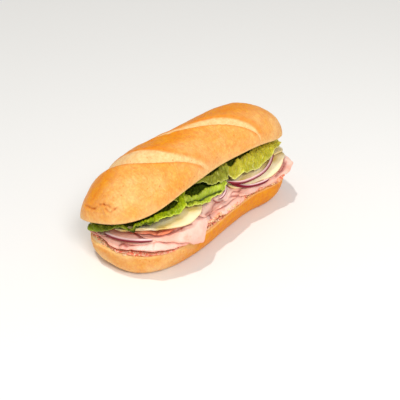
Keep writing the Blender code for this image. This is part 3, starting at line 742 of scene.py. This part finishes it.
def score_fields(plan):
    """Relief of the crust at plan points, with how far each lies in a pale band and along its edges."""
    relief = np.zeros(len(plan))
    band = np.zeros(len(plan))
    ridge = np.zeros(len(plan))
    for near_edge, far_edge in metres(SCORES):
        past_near = -side_of(plan, near_edge)
        before_far = side_of(plan, far_edge)
        width = np.maximum(past_near + before_far, TINY)
        inside = soft_step(past_near, EDGE_CRISPNESS) * soft_step(before_far, EDGE_BLUR)
        depth = SCORE_DEPTH * np.clip(width / SCORE_FULL_WIDTH, 0.0, 1.0)
        near_ridge = soft_step(-past_near, SCORE_SOFTNESS) * bell(past_near, NEAR_RIDGE_WIDTH)
        relief -= depth * soft_step(past_near, SCORE_SOFTNESS) * bell(past_near, SCORE_SINK_SHARE * width)
        relief += NEAR_RIDGE_HEIGHT * near_ridge
        relief += FAR_RIDGE_HEIGHT * bell(before_far + FAR_RIDGE_SHIFT, FAR_RIDGE_WIDTH)
        near_line = soft_step(-past_near, EDGE_CRISPNESS) * bell(past_near, NEAR_LINE_WIDTH)
        far_line = soft_step(-before_far, EDGE_BLUR) * bell(before_far, FAR_LINE_WIDTH)
        band = np.maximum(band, inside)
        ridge = np.maximum(ridge, np.maximum(near_line, FAR_LINE_SHARE * far_line))
    return relief, band, ridge


def spot_field(points, spots):
    """Sum of soft round spots, each a centre, a radius and an amount."""
    field = np.zeros(len(points))
    for centre, radius, amount in spots:
        field += amount * bell(np.linalg.norm(points - np.array(centre), axis=1), radius)
    return field


def crease_field(points):
    """1 on the creases at the near end, 0 away from them, and the same of the soft swelling beside them."""
    field = np.zeros(len(points))
    beside = np.zeros(len(points))
    wander = CREASE_WANDER * noise_at(points, CREASE_WANDER_SIZE, 5.0)
    for corners in map(np.array, metres(CREASES)):
        for first, last in zip(corners, corners[1:]):
            run = last - first
            share = np.clip(((points - first) @ run) / (run @ run), 0.0, 1.0)
            distance = np.linalg.norm(points - first - share[:, None] * run, axis=1) + wander
            field = np.maximum(field, bell(distance, CREASE_WIDTH))
            beside = np.maximum(beside, bell(distance - CREASE_SWELL_PLACE, CREASE_SWELL_WIDTH))
    return field, beside


def loft(name, rings, fields, cut_spans):
    """Closed body through rings of equal count, with strips across both ends. The spans of faces that are
    cut faces take material 1."""
    count = len(rings[0])
    faces = []
    for level in range(len(rings) - 1):
        low = level * count
        high = low + count
        for i in range(count):
            j = (i + 1) % count
            faces.append((low + i, low + j, high + j, high + i))
    for base, first in ((0, True), ((len(rings) - 1) * count, False)):
        for i in range(count // 2):
            corners = [base + i, base + i + 1, base + (count - i - 1) % count, base + (count - i) % count]
            corners = list(dict.fromkeys(corners))
            faces.append(corners[::-1] if first else corners)
    item = make_mesh(name, np.concatenate(rings), faces, fields)
    slots = np.zeros(len(item.data.polygons), int)
    for start, end in cut_spans:
        slots[start:end] = 1
    item.data.polygons.foreach_set("material_index", slots)
    return item


def bottom_rings():
    """Rings of the bottom half from the foot up its side, over the cut edge and into the cut face."""
    size = (BOTTOM_HALF_LENGTH, BOTTOM_HALF_WIDTH)
    ring = bottom_ring()
    side_top = BOTTOM_RIM_HEIGHT - CUT_EDGE
    rings = []
    for step in range(BOTTOM_LEVELS + 1):
        angle = 0.5 * math.pi * (1.0 - step / BOTTOM_LEVELS)
        inset = BOTTOM_FOOT_INSET * (1.0 - math.cos(angle))
        level = at_height(inset_ring(ring, *size, inset), side_top * (1.0 - math.sin(angle)))
        if step:
            slow = LUMP_HEIGHT * noise_at(level, LUMP_SIZE)
            fine = relief_at(level, BOTTOM_RELIEF)
            level[:, :2] *= (1.0 + (slow + fine) / BOTTOM_HALF_WIDTH)[:, None]
        rings.append(level)
    side = rings[-1][:, :2]
    for angle in (0.25 * math.pi, 0.5 * math.pi):
        rim = inset_ring(side, *size, CUT_EDGE * (1.0 - math.cos(angle)))
        rings.append(at_height(rim, side_top + CUT_EDGE * math.sin(angle)))
    for inset in CUT_FACE_INSETS:
        rings.append(at_height(inset_ring(side, *size, inset), BOTTOM_RIM_HEIGHT))
    return rings


def build_bun_bottom(crust, crumb):
    rings = bottom_rings()
    points = np.concatenate(rings)
    zero = np.zeros(len(points))
    # Front of the bottom half past its near end: deeper orange, partly the crust's own colour and partly
    # painted shade.
    far = np.clip((points[:, 0] + 0.075) / 0.045, 0.0, 1.0) * (points[:, 1] < 0.0)
    browning_and_shade = np.clip(0.18 + 1.10 * far + 0.25 * noise_at(points, 0.020, 4.0), 0.0, 1.0)
    below_rim = BOTTOM_RIM_HEIGHT - CUT_EDGE - LIP_BAND
    lip = 0.5 * np.clip((points[:, 2] - below_rim) / LIP_BAND, 0.0, 1.0)
    lip = np.maximum(lip, np.clip(spot_field(points, PALE_RIM_SPOTS), 0.0, 1.0))
    pale_mottle_and_sheen = np.clip(0.2 + 0.9 * noise_at(points, 0.016, 7.0), 0.0, 0.8) * (1.0 - far)
    fields = {"band": zero, "ridge": zero, "crease": zero, "browning_and_shade": browning_and_shade, "pale_mottle_and_sheen": pale_mottle_and_sheen, "lip": lip}
    count = len(rings[0])
    item = loft("roll_bottom", rings, fields, (((BOTTOM_LEVELS + 2) * count, -count), (-count // 2, None)))
    return dress(item, "bun_bottom", "crust", crust, crumb)


def build_bun_top(crust, crumb):
    ring = plan_ring(TOP_HALF_LENGTH, TOP_HALF_WIDTH, TOP_SQUARENESS, TOP_FRONT_SWELL, TOP_BACK_SWELL,
                     TOP_OUTLINE_STEPS, NEAR_DENSITY)
    rings = []
    for inset in (*CUT_FACE_INSETS[::-1], CUT_EDGE):
        under = inset_ring(ring, TOP_HALF_LENGTH, TOP_HALF_WIDTH, inset)
        rings.append(at_height(under, lip_height(under[:, 0], under[:, 1])))
    flat_rings = len(rings)
    for step in range(TOP_LEVELS + 1):
        angle = 0.5 * math.pi * TOP_LAST_LEVEL * (step / TOP_LEVELS)
        width = math.cos(angle) ** (2 / TOP_ROUNDNESS)
        length = (TOP_HALF_LENGTH - TOP_HALF_WIDTH * (1.0 - width)) / TOP_HALF_LENGTH
        plan = ring * np.array((length, width))
        crown = TOP_CROWN * (1.0 + swell(plan[:, 0], TOP_HALF_LENGTH, TOP_CROWN_SWELL))
        rise = CUT_EDGE + (crown - CUT_EDGE) * math.sin(angle) ** (2 / TOP_ROUNDNESS)
        rings.append(at_height(plan, lip_height(plan[:, 0], plan[:, 1]) + rise))
    count = len(ring)
    points = np.concatenate(rings) + np.array((*TOP_CENTRE, 0.0))
    step = np.repeat(np.arange(len(rings)) - flat_rings, count)
    grown = np.clip(step / (RELIEF_FADE * TOP_LEVELS), 0.0, 1.0)
    outward = (points - np.array((0.0, 0.0, TOP_LIP_HEIGHT))) * np.array(RELIEF_PULL)
    outward /= np.linalg.norm(outward, axis=1)[:, None]
    relief, band, ridge = score_fields(points[:, :2])
    crease, beside = crease_field(points)
    crease = crease * (0.65 + 0.5 * noise_at(points, 0.003, 6.0))
    fine = relief_at(points, TOP_RELIEF)
    height = grown * (relief + LUMP_HEIGHT * noise_at(points, LUMP_SIZE) + fine)
    height += CREASE_SWELL * beside - CREASE_DEPTH * crease
    points += outward * height[:, None]
    up = np.clip(step / TOP_LEVELS, 0.0, 1.0)
    # Top half: browning deeper towards the top and in the baked spots; where the sum is below zero, pale
    # painted sheen instead.
    browning_and_shade = up**1.5 * 0.75 + spot_field(points, BAKED_AND_SHEEN_SPOTS) + 0.30 * noise_at(points, 0.026, 3.0)
    pale_mottle_and_sheen = np.clip(-browning_and_shade, 0.0, 1.0)
    browning_and_shade = np.clip(browning_and_shade, 0.0, 1.0) * (1.0 - band)
    lip = 0.6 * np.exp(-np.maximum(step, 0.0) / (0.035 * TOP_LEVELS))
    fields = {"band": band * grown, "ridge": ridge * grown, "crease": crease, "browning_and_shade": browning_and_shade,
              "pale_mottle_and_sheen": pale_mottle_and_sheen, "lip": lip}
    rings = list(points.reshape(len(rings), count, 3))
    item = loft("roll_top", rings, fields, ((0, (flat_rings - 1) * count), (-count, -count // 2)))
    return dress(item, "bun_top", "crust", crust, crumb)


def grid_lines(count, half_size, thickness):
    """Places from -1 to 1, even inside and closer in the rounded edge."""
    band = min(0.5 * thickness / half_size, 0.1)
    inner = np.linspace(-1.0 + band, 1.0 - band, count)
    steps = np.sin(0.5 * math.pi * np.arange(1, EDGE_LINES + 1) / EDGE_LINES)
    return np.concatenate((-(1.0 - band + band * steps)[::-1], inner, 1.0 - band + band * steps)), band


def layers_of(row):
    """A slice, followed by its second layer where it is folded over."""
    piece = Slice(*row, metres(EDGES.get(row[0], ())))
    if piece.name not in FOLDED:
        return [piece]
    level, share, front = FOLDED[piece.name]
    smaller = tuple(share * size for size in piece.half_sizes)
    upper = piece._replace(level=level, thickness=FOLDED_THICKNESS * piece.thickness, half_sizes=smaller,
                           front=metres(front))
    return [piece, upper]


def flat_plan(u, v, piece):
    across = piece.half_sizes[0] * u * np.sqrt(1.0 - 0.5 * piece.roundness * v**2)
    along = piece.half_sizes[1] * v * np.sqrt(1.0 - 0.5 * piece.roundness * u**2)
    angle = math.radians(piece.turn)
    x = piece.centre[0] + across * math.cos(angle) - along * math.sin(angle)
    y = piece.centre[1] + across * math.sin(angle) + along * math.cos(angle)
    return x, y


def shell_faces(columns, rows):
    """Faces of a closed shell whose two sides share their outer points, and the side numbering."""
    upper = np.arange(columns * rows).reshape(rows, columns)
    lower = upper.copy()
    inside = np.zeros((rows, columns), bool)
    inside[1:-1, 1:-1] = True
    lower[inside] = columns * rows + np.arange(inside.sum())
    faces = []
    for grid, flip in ((upper, False), (lower, True)):
        quads = np.stack((grid[:-1, :-1], grid[:-1, 1:], grid[1:, 1:], grid[1:, :-1]), -1).reshape(-1, 4)
        faces.append(quads[:, ::-1] if flip else quads)
    return np.concatenate(faces), inside


def shaped_rim(rim_x, rim_y, centre, edge):
    """Rim moved, round the centre, to the given front edge, and back to its own shape past its ends."""
    if not edge:
        return rim_x, rim_y
    turned = np.array([math.atan2(x - centre[0], -(y - centre[1])) for x, y in edge])
    far = np.array([math.hypot(x - centre[0], y - centre[1]) for x, y in edge])
    order = np.argsort(turned)
    turned, far = turned[order], far[order]
    angle = np.arctan2(rim_x - centre[0], -(rim_y - centre[1]))
    radius = np.hypot(rim_x - centre[0], rim_y - centre[1])
    shifts = (-EDGE_SOFTNESS, 0.0, EDGE_SOFTNESS)
    target = sum(np.interp(angle + shift, turned, far) for shift in shifts) / len(shifts)
    past = np.maximum(turned[0] - angle, angle - turned[-1])
    weight = 0.5 + 0.5 * np.cos(math.pi * np.clip(past / EDGE_FADE, 0.0, 1.0))
    scale = 1.0 + weight * (target / radius - 1.0)
    return centre[0] + (rim_x - centre[0]) * scale, centre[1] + (rim_y - centre[1]) * scale


def fold_lift(x, y, folds):
    """Height of the folds at flat points: each is a ridge, or a furrow, along a line."""
    lift = np.zeros_like(x)
    for first, last, width, height in folds:
        run = np.subtract(last, first)
        share = np.clip(((x - first[0]) * run[0] + (y - first[1]) * run[1]) / (run @ run), 0.0, 1.0)
        away = np.hypot(x - first[0] - share * run[0], y - first[1] - share * run[1])
        lift += height * bell(away, width)
    return lift


def rim_line(piece):
    """Flat points of a slice's rim."""
    side = np.linspace(-1.0, 1.0, RIM_STEPS)
    one = np.ones(RIM_STEPS)
    u = np.concatenate((side, one, -side, -one))
    v = np.concatenate((-one, side, one, -side))
    return shaped_rim(*trim_to_reach(*flat_plan(u, v, piece), piece.reach), piece.centre, piece.front)


def rim_tree(piece):
    """Search tree over the points of a slice's rim in the sandwich."""
    x, y = rim_line(piece)
    tree = kdtree.KDTree(len(x))
    for number, point in enumerate(drape(x, y, piece.level)):
        tree.insert(point, number)
    tree.balance()
    return tree


def all_rims():
    """Level and rim of every slice and of every second layer."""
    return [(piece.level, rim_tree(piece)) for row in SLICES for piece in layers_of(row)]


def painted_shadow_field(x, y, piece, seed, rims):
    """Painted shadow: 1 beside the rims of the slices that lie on this one, 0 away from them."""
    levels, width = SHADOW_LINES[piece.kind]
    place = drape(x, y, piece.level).reshape(-1, 3)
    normal = drape_normal(x, y, piece.level).reshape(-1, 3)
    field = np.zeros(x.size)
    for upper, tree in rims:
        if piece.level < upper <= piece.level + levels:
            away = np.array([tree.find(point)[0] for point in place]) - place
            above = (away * normal).sum(axis=1)
            beside = np.linalg.norm(away - above[:, None] * normal, axis=1)
            field = np.maximum(field, bell(beside, width))
    flat = np.stack((x, y, np.full_like(x, piece.level)), -1)
    strength = np.clip(0.65 + 1.2 * noise_at(flat, 0.009, seed), 0.0, 1.0)
    return field.reshape(x.shape) * strength


def build_sheet(seed, piece, rims):
    """Points, faces and fields of one closed thin sheet."""
    ruffle, ruffle_size, crinkle, crinkle_size, ragged = TEXTURE[piece.kind]
    columns, rows = GRID[piece.kind]
    folds = metres(FOLDS.get(piece.name, ()))
    centre, level = piece.centre, piece.level
    u_lines, u_band = grid_lines(columns, piece.half_sizes[0], piece.thickness)
    v_lines, v_band = grid_lines(rows, piece.half_sizes[1], piece.thickness)
    u, v = np.meshgrid(u_lines, v_lines)
    edge = np.maximum(np.abs(u), np.abs(v))
    safe = np.maximum(edge, TINY)
    x, y = flat_plan(u, v, piece)
    rim_x, rim_y = flat_plan(u / safe, v / safe, piece)
    rim = np.stack((rim_x, rim_y, np.full_like(rim_x, level)), -1)
    to_x, to_y = shaped_rim(*trim_to_reach(rim_x, rim_y, piece.reach), centre, piece.front)
    out_x = to_x - centre[0]
    out_y = to_y - centre[1]
    length = np.hypot(out_x, out_y) + TINY
    rag = ragged * (noise_at(rim, 0.009, seed) + 0.6 * noise_at(rim, 0.0035, seed + 0.5))
    x = x + (to_x + out_x / length * rag - rim_x) * edge**3
    y = y + (to_y + out_y / length * rag - rim_y) * edge**3
    flat = np.stack((x, y, np.full_like(x, level)), -1)
    lift = ruffle * edge**4 * noise_at(rim, ruffle_size, seed + 0.25) * 2.0
    lift = lift + crinkle * noise_at(flat, crinkle_size, seed + 0.75)
    inward = (1.0 - edge) * length
    deep = np.zeros_like(x)
    # Furrows, the folds that sink, get dark lines of painted shade; on a leaf these join its painted shade,
    # and the field then carries the pale ribs.
    furrows = [(first, last, FURROW_SHARE * width, 1.0) for first, last, width, height in folds
               if height < 0.0]
    patches = np.clip(1.2 + 1.2 * noise_at(flat, 0.005, seed), 0.0, 1.0)
    vein = np.minimum(fold_lift(x, y, furrows), 1.0) * patches
    if piece.name in LEAVES:
        # Leaves: painted shade on the part deep under the roll.
        lift, ribs, deep = crisp_leaf(flat, inward, seed, lift, LEAVES[piece.name])
        deep = np.maximum(deep, vein)
        vein = ribs * (1.0 - vein)
    else:
        lift = lift + EDGE_CURL * np.clip(1.0 - inward / CURL_WIDTH, 0.0, 1.0) ** 2
    # Painted light for the leaves: brighter where the sheet is raised, none under the painted shade.
    high = np.clip(0.5 + 0.45 * lift / (ruffle + crinkle), 0.0, 1.0) * (1.0 - deep)
    lift = lift + fold_lift(x, y, folds)
    middle = drape(x, y, level) + drape_normal(x, y, level) * lift[..., None]
    normal = np.cross(np.gradient(middle, axis=1), np.gradient(middle, axis=0))
    normal /= np.linalg.norm(normal, axis=-1)[..., None] + TINY
    close = np.maximum((np.abs(u) - 1.0 + u_band) / u_band, (np.abs(v) - 1.0 + v_band) / v_band)
    round_off = np.sqrt(np.clip(1.0 - np.clip(close, 0.0, 1.0) ** 2, 0.0, 1.0))
    half = 0.5 * piece.thickness * round_off[..., None]
    faces, inside = shell_faces(len(u_lines), len(v_lines))
    points = np.concatenate(((middle + normal * half).reshape(-1, 3), (middle - normal * half)[inside]))
    border = np.clip(1.0 - inward / RIM_WIDTH, 0.0, 1.0)
    # Painted shadow beside the rims of the slices above.
    gap = painted_shadow_field(x, y, piece, seed, rims)
    fields = {"rim": border, "high": high, "vein": vein, "deep": deep, "gap": gap}
    fields = {name: np.concatenate((values.ravel(), values[inside])) for name, values in fields.items()}
    return points, faces, fields


def build_slice(number, row, materials, rims):
    name, kind = row[:2]
    sheets = [build_sheet(number + FOLDED_SEED * layer, piece, rims)
              for layer, piece in enumerate(layers_of(row))]
    all_points, all_faces, all_fields = zip(*sheets)
    starts = np.cumsum([0] + [len(points) for points in all_points[:-1]])
    faces = np.concatenate([part + start for part, start in zip(all_faces, starts)])
    fields = {field: np.concatenate([part[field] for part in all_fields]) for field in all_fields[0]}
    word = "_leaf_" if kind == "lettuce" else "_slice_"
    item = make_mesh(name.replace("_", word), np.concatenate(all_points), faces, fields)
    return dress(item, name, kind, materials[name] if name in materials else materials[kind])


def crisp_leaf(flat, inward, seed, lift, leaf):
    """Crinkles between the ribs of a lettuce leaf, the ribs themselves, and the painted shade on the part
    deep under the roll and towards the near end.
    """
    near_border, far_border, sink, spacing, slant = leaf
    x, y = flat[..., 0], flat[..., 1]
    along = (x - x.min()) / np.ptp(x)
    border = near_border + (far_border - near_border) * along
    wander = 0.9 * noise_at(flat, 0.012, seed) + 0.5 * noise_at(flat, 0.0045, seed + 0.3)
    ribs = np.abs(np.sin(math.pi * ((x + slant * y) / spacing + wander)))
    strength = np.clip(0.7 + 0.9 * noise_at(flat, 0.007, seed + 0.9), 0.0, 1.0)
    vein = bell(ribs, RIB_WIDTH) * strength
    edge_line = border * (1.0 + 0.22 * noise_at(flat, 0.008, seed + 1.3))
    deep = np.clip((inward - edge_line) / LEAF_SINK_RUN, 0.0, 1.0)
    deep = deep * deep * (3.0 - 2.0 * deep)
    puff = PUFF_SHARE * spacing * (ribs - 0.5) * strength
    puff = puff + SMALL_PUFF * noise_at(flat, 0.0032, seed + 0.6)
    dim = LEAF_DIM * np.clip((LEAF_DIM_START - x) / LEAF_DIM_RUN, 0.0, 1.0)
    return lift + puff - sink * deep, vein * (1.0 - deep), np.maximum(deep, dim)


def build_onion(row, material):
    name, level, centre, half_sizes, first, last, height, thickness, skin_start = row
    angle = np.radians(np.linspace(first, last, ONION_STEPS))
    x = centre[0] + half_sizes[0] * np.cos(angle)
    y = centre[1] + half_sizes[1] * np.sin(angle)
    line = drape(x, y, level)
    up = drape_normal(x, y, level)
    tangent = np.gradient(line, axis=0)
    tangent /= np.linalg.norm(tangent, axis=1)[:, None]
    side = np.cross(tangent, up)
    side /= np.linalg.norm(side, axis=1)[:, None]
    place = np.linspace(-1.0, 1.0, ONION_STEPS)
    taper = np.sqrt(np.clip(1.0 - np.abs(place) ** 12, 0.0, 1.0)) * (1.0 - ONION_TAPER * place**6)
    around = 2 * math.pi * np.arange(ONION_TURNS) / ONION_TURNS
    wide = np.sign(np.cos(around)) * np.abs(np.cos(around)) ** ONION_SQUARENESS
    tall = np.sign(np.sin(around)) * np.abs(np.sin(around)) ** ONION_SQUARENESS
    half_wide = 0.5 * thickness * taper[:, None] * wide
    half_tall = 0.5 * height * taper[:, None] * tall
    points = line[:, None] + side[:, None] * half_wide[..., None] + up[:, None] * half_tall[..., None]
    points = points[1:-1].reshape(-1, 3)
    rings = ONION_STEPS - 2
    skin = np.tile(np.clip((wide - skin_start) / SKIN_FADE, 0.0, 1.0), rings)
    faces = []
    for low in range(0, (rings - 1) * ONION_TURNS, ONION_TURNS):
        high = low + ONION_TURNS
        for i in range(ONION_TURNS):
            j = (i + 1) % ONION_TURNS
            faces.append((low + i, high + i, high + j, low + j))
    faces.append(tuple(range(ONION_TURNS)))
    faces.append(tuple((rings - 1) * ONION_TURNS + i for i in reversed(range(ONION_TURNS))))
    item = make_mesh(name.replace("_", "_arc_"), points, faces, {"skin": skin})
    return dress(item, name, "onion", material)


def ball():
    """Points and faces of a ball of radius 1."""
    heights = np.linspace(0.0, math.pi, BALL_BANDS + 1)[1:-1]
    around = 2 * math.pi * np.arange(BALL_TURNS) / BALL_TURNS
    points = [(0.0, 0.0, 1.0)]
    for h in heights:
        points += [(math.sin(h) * math.cos(a), math.sin(h) * math.sin(a), math.cos(h)) for a in around]
    points.append((0.0, 0.0, -1.0))
    last = len(points) - 1
    faces = []
    for i in range(BALL_TURNS):
        j = (i + 1) % BALL_TURNS
        faces.append((0, 1 + i, 1 + j))
        for band in range(BALL_BANDS - 2):
            low = 1 + band * BALL_TURNS
            faces.append((low + i, low + BALL_TURNS + i, low + BALL_TURNS + j, low + j))
        low = last - BALL_TURNS
        faces.append((last, low + j, low + i))
    return np.array(points), faces


def rim_path():
    """Rim of the bottom half from the back of the near end, round the front, to the far end."""
    ring = bottom_ring()
    start = np.argmax((ring[:, 0] < 0.0) & (ring[:, 1] < RIM_START))
    return ring[start:]


def roll_rim_places(chance, count, seed, inset, height):
    """Places along the rim of the bottom half, thicker on the ground in some stretches than in others."""
    path = rim_path()
    run = np.concatenate(([0.0], np.cumsum(np.hypot(*np.diff(path, axis=0).T))))
    places = []
    while len(places) < count:
        along = chance.uniform(0.0, run[-1])
        place = np.array((np.interp(along, run, path[:, 0]), np.interp(along, run, path[:, 1]), 0.0))
        if chance.uniform(-0.5, 0.6) > noise_at(place, 0.016, seed):
            continue
        inner = place * (1.0 - chance.uniform(*inset) / BOTTOM_HALF_WIDTH)
        places.append(inner + np.array((0.0, 0.0, BOTTOM_RIM_HEIGHT + chance.uniform(*height))))
    return places


def slice_rim_places(chance, count, seed, rims):
    """Places on the front edges of the lower slices."""
    places = []
    while len(places) < count:
        piece, x, y = rims[chance.integers(len(rims))]
        corner = chance.integers(len(x))
        out_x = x[corner] - piece.centre[0]
        out_y = y[corner] - piece.centre[1]
        inward = 1.0 - chance.uniform(0.0, BIT_BAND) / math.hypot(out_x, out_y)
        flat_x = piece.centre[0] + out_x * inward
        flat_y = piece.centre[1] + out_y * inward
        away = away_from_core(flat_x, flat_y)[3]
        if away < BIT_START or flat_y > BIT_BACK:
            continue
        if chance.uniform(-0.5, 0.6) > noise_at(np.array((flat_x, flat_y, 0.0)), 0.012, seed):
            continue
        lift = BIT_LIFT * drape_normal(flat_x, flat_y, piece.level)
        places.append(drape(flat_x, flat_y, piece.level) + lift)
    return places


def build_bits(name, slot, chance, sizes, places, material):
    """One small uneven lump at each place, all in one mesh."""
    shape, shape_faces = ball()
    points = []
    faces = []
    tones = []
    for place in places:
        size = chance.uniform(*sizes) * np.array((1.0, chance.uniform(0.5, 1.0), chance.uniform(0.4, 0.8)))
        turn = chance.uniform(0.0, math.pi)
        spin = np.array(((math.cos(turn), -math.sin(turn), 0.0), (math.sin(turn), math.cos(turn), 0.0),
                         (0.0, 0.0, 1.0)))
        lump = shape * (1.0 + 0.35 * noise_at(shape, 0.7, len(points)))[:, None]
        start = len(points) * len(shape)
        faces += [tuple(start + corner for corner in face) for face in shape_faces]
        points.append((lump * size) @ spin.T + place)
        tones += [chance.uniform(0.0, 1.0)] * len(shape)
    item = make_mesh(name, np.concatenate(points), faces, {"tone": tones})
    return dress(item, None, slot, material)


def build_all_bits():
    """Crumbs and flecks of meat in the strip between the lower slices and the roll."""
    materials = {
        "crumbs": bits_material("crumbs", linear(255, 226, 190), linear(250, 180, 120), 0.7),
        "meat_flecks": bits_material("flecks", linear(232, 102, 72), linear(252, 180, 146), 0.4),
    }
    bitty = [layers_of(row)[0] for row in SLICES if row[0] in BITTY_SLICES]
    rims = [(piece, *rim_line(piece)) for piece in bitty]
    for name, slot, seed, on_roll, on_slices, inset, height, sizes in BITS:
        chance = np.random.default_rng(seed)
        places = roll_rim_places(chance, on_roll, seed, inset, height)
        places += slice_rim_places(chance, on_slices, seed + 1, rims)
        build_bits(name, slot, chance, sizes, places, materials[name])


def put(name, data, place, turn):
    item = bpy.data.objects.new(name, data)
    item.location = place
    item.rotation_euler = turn
    bpy.context.scene.collection.objects.link(item)
    return item


def toward(place):
    """Turn of a light that shines from a place to the origin."""
    return Vector(place).to_track_quat("Z", "Y").to_euler()


def build_floor():
    bpy.ops.mesh.primitive_plane_add(size=FLOOR_SIZE, location=(0.0, 0.0, 0.0))
    floor = bpy.context.object
    floor.name = "floor"
    paint = Paint("floor", 0.8)
    tone = paint.remap(paint.noise(0.5, 2.0), 0.0, 1.0, 0.0, 0.04)
    colour = paint.blend(tone, (0.87, 0.865, 0.85), (0.84, 0.83, 0.81))
    floor.data.materials.append(paint.finish(colour, specular=0.1))


def build_stage():
    """Pale floor, soft light and the camera."""
    build_floor()
    sun = bpy.data.lights.new("key", "SUN")
    sun.energy = SUN_STRENGTH
    sun.angle = SUN_SOFTNESS
    sun.color = SUN_COLOUR
    put("key", sun, (0.0, 0.0, 0.0), toward(SUN_FROM))
    fill = bpy.data.lights.new("fill", "AREA")
    fill.energy = FILL_STRENGTH
    fill.size = FILL_SIZE
    put("fill", fill, FILL_PLACE, toward(FILL_PLACE))

    world = bpy.data.worlds.new("studio")
    world.use_nodes = True
    sky = world.node_tree.nodes["Background"]
    sky.inputs["Color"].default_value = (1.0, 1.0, 1.0, 1.0)
    sky.inputs["Strength"].default_value = SKY_STRENGTH
    bpy.context.scene.world = world
    bpy.context.scene.view_settings.view_transform = "Standard"

    lens = bpy.data.cameras.new("camera")
    lens.lens = CAMERA_LENS
    lens.sensor_width = SENSOR_WIDTH
    turn = (0.5 * math.pi - CAMERA_PITCH, 0.0, CAMERA_TURN)
    bpy.context.scene.camera = put("camera", lens, CAMERA_PLACE, turn)


def main():
    build_stage()
    crust = crust_material()
    crumb = crumb_material()
    build_bun_bottom(crust, crumb)
    build_bun_top(crust, crumb)
    # The third colour of each ham is the dark red of its painted shade.
    pale_ham = ham_material("ham", linear(250, 208, 192), linear(247, 186, 166), linear(150, 40, 28),
                            linear(240, 168, 142))
    pink_ham = ham_material("pink_ham", linear(252, 212, 196), linear(250, 192, 172), linear(170, 56, 40),
                            linear(238, 146, 120))
    materials = {
        "salami": salami_material(),
        "ham": pale_ham,
        "ham_1": pink_ham,
        "ham_3": pink_ham,
        "ham_2": pink_ham,
        "capicola": ham_material("capicola", linear(250, 186, 148), linear(236, 146, 106),
                                 linear(150, 46, 30), linear(212, 100, 70)),
        "provolone": provolone_material(),
        "lettuce_1": lettuce_material("lettuce_green", linear(62, 84, 0), linear(112, 140, 2),
                                      linear(176, 198, 16), linear(216, 224, 84)),
        "lettuce_2": lettuce_material("lettuce_bright", linear(84, 108, 2), linear(138, 160, 10),
                                      linear(202, 214, 66), linear(230, 232, 122)),
        "lettuce_3": lettuce_material("lettuce_dull", linear(84, 94, 8), linear(124, 130, 24),
                                      linear(170, 174, 62), linear(200, 200, 112)),
        "lettuce_4": lettuce_material("lettuce_pale", linear(104, 106, 2), linear(164, 158, 14),
                                      linear(232, 226, 76), linear(252, 246, 156)),
    }
    rims = all_rims()
    for number, row in enumerate(SLICES, start=1):
        build_slice(number, row, materials, rims)
    onion = onion_material()
    for row in ONION_ARCS:
        build_onion(row, onion)
    build_all_bits()


main()
